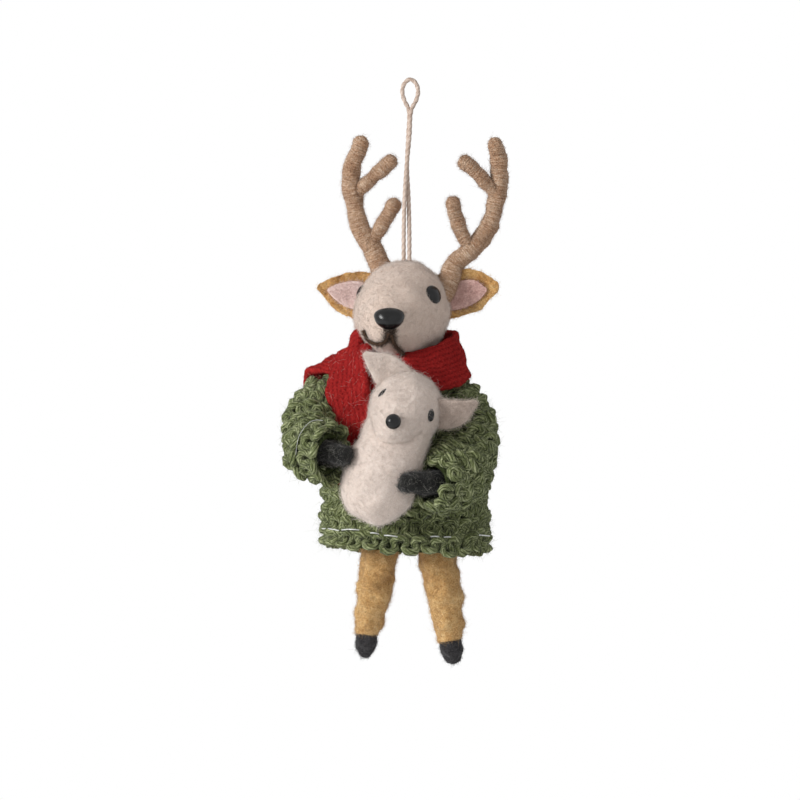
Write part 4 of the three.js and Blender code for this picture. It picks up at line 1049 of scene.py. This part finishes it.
for side, foot, shares, face, ear_felt, ear_nap in [
        ("right", (-0.72, -0.1, 0.62),
         [[0.2, 0.05, -0.17], [-0.12, 0, 0.12], [-0.36, -0.04, 0.31], [-0.57, -0.06, 0.47]],
         (0, 1, 0), pale, pale_fibre),
        # The left ear takes the pale felt with painted shade.
        ("left", (0.93, -0.05, 0.36),
         [[-0.2, 0.02, 0.02], [0.2, 0, -0.01], [0.52, -0.04, 0.07], [0.75, -0.06, 0.2]],
         (0, 1, 0.6), pale_painted_shade, pale)]:
    blade = rolled(fawn_head.place(foot) + fawn_ear_length * np.array(shares),
                   np.array([0.95, 1, 0.92, 0.6, 0.16]) * fawn_ear_half, 50, 48,
                   flat=fawn_ear_thickness / (2 * fawn_ear_half), up=face, domes=(0.5, 0.5),
                   dome_rings=6, cup=-1.0, cup_width=2 * fawn_ear_half)
    felted(f"fawn_{side}_ear_felt", uneven(blade, (6, 0.08, 86)), ear_felt, f"fawn_{side}_ear",
           4500, 1.2, 87, ear_nap)
for name, place, half, slant, sink in [
        ("fawn_nose", (-0.31, -0.27), (2.4, 2.3, 2.4), 0, 0.7),
        ("fawn_right_eye", (-0.66, 0.47), (0.6, 1.5, 1.9), 48, 1.9),
        ("fawn_left_eye", (0.71, -0.13), (1.3, 1.5, 2.1), 0, 1.85)]:
    middle = fawn_head.place(fawn_head.facing(*place), half[1] - sink)
    bead = Ball(middle, half, turn=turned(slant, 0)).grid(30, 44)
    dress(tube(name + "_bead", bead), glossy, name)
fuzz("fawn_strays", strips[1][0], pale_fibre, 300, 2.8, 88, 0.028, 0.4, bends=3)


# Legs: tapered rolls of tan felt on bent wires that turn in the torso, with felt hooves
# drawn over their ends.
leg_tan = felt_finish("leg_felt", "felt_tan", "a07340", "cba066", "ecd09c", patchy=0.4)
leg_fibre = felt_finish("leg_fibre", "felt_tan", "b0844e", "d6b076", "f6e2b4", patchy=0.3)
dark = felt_finish("dark_felt", "felt_black", "1e1d1f", "363436", "585556")
leg_half, hip_height = 6.2, 2.6
for side, hip, size, shares, widths, toe in [
        ("right", -7.8, 28.2,
         [[0, 0, 0], [-0.012, -0.01, -0.2], [-0.058, -0.02, -0.52], [-0.11, -0.01, -0.78],
          [-0.138, 0, -1]], [0.95, 0.91, 0.88, 0.81, 0.68, 0.57], 3.2),
        ("left", 9.6, 30,
         [[0, 0, 0], [0.03, -0.01, -0.2], [0.08, -0.02, -0.48], [0.122, -0.01, -0.78],
          [0.15, 0, -1]], [1, 0.95, 0.92, 0.83, 0.7, 0.6], 3.5)]:
    line = np.array([hip, 0, hip_height]) + size * np.array(shares)
    limb = rolled(line, np.array(widths) * leg_half, 80, 64, domes=(1.0, 0.2), dome_rings=12)
    felted(side + "_leg_felt", uneven(limb, (7, 0.36, 90), (2.6, 0.08, 91)), leg_tan,
           side + "_leg", 11500, 1.05, 92, leg_fibre, body=side + "_leg_part")
    tip = rolled(line[-1] + np.array([[0.3], [3.4], [6.5]]) * unit(line[-1] - line[-2]),
                 np.array([0.96, 1, 0.9, 0.62]) * toe, 40, 48, domes=(0.0, 0.5), dome_rings=12)
    felted(side + "_hoof_felt", uneven(tip, (4, 0.2, 93), (1.5, 0.08, 94)), dark,
           side + "_hoof", 1800, 0.9, 95, body=side + "_leg_part")


# Armature wires: bare galvanised steel, bent by hand and hidden in the felt. The plain
# solids show them as they are.
steel = plain_finish("galvanised_wire", None, 0.4, (600.0, 2.0), (0.3, "96989c"), (0.7, "babcc0"),
                     Metallic=1.0)
for piece in bpy.data.objects:
    if piece.name.endswith("_wire") and piece.type == "MESH" and piece.material_slots:
        piece.material_slots[0].material = steel.material
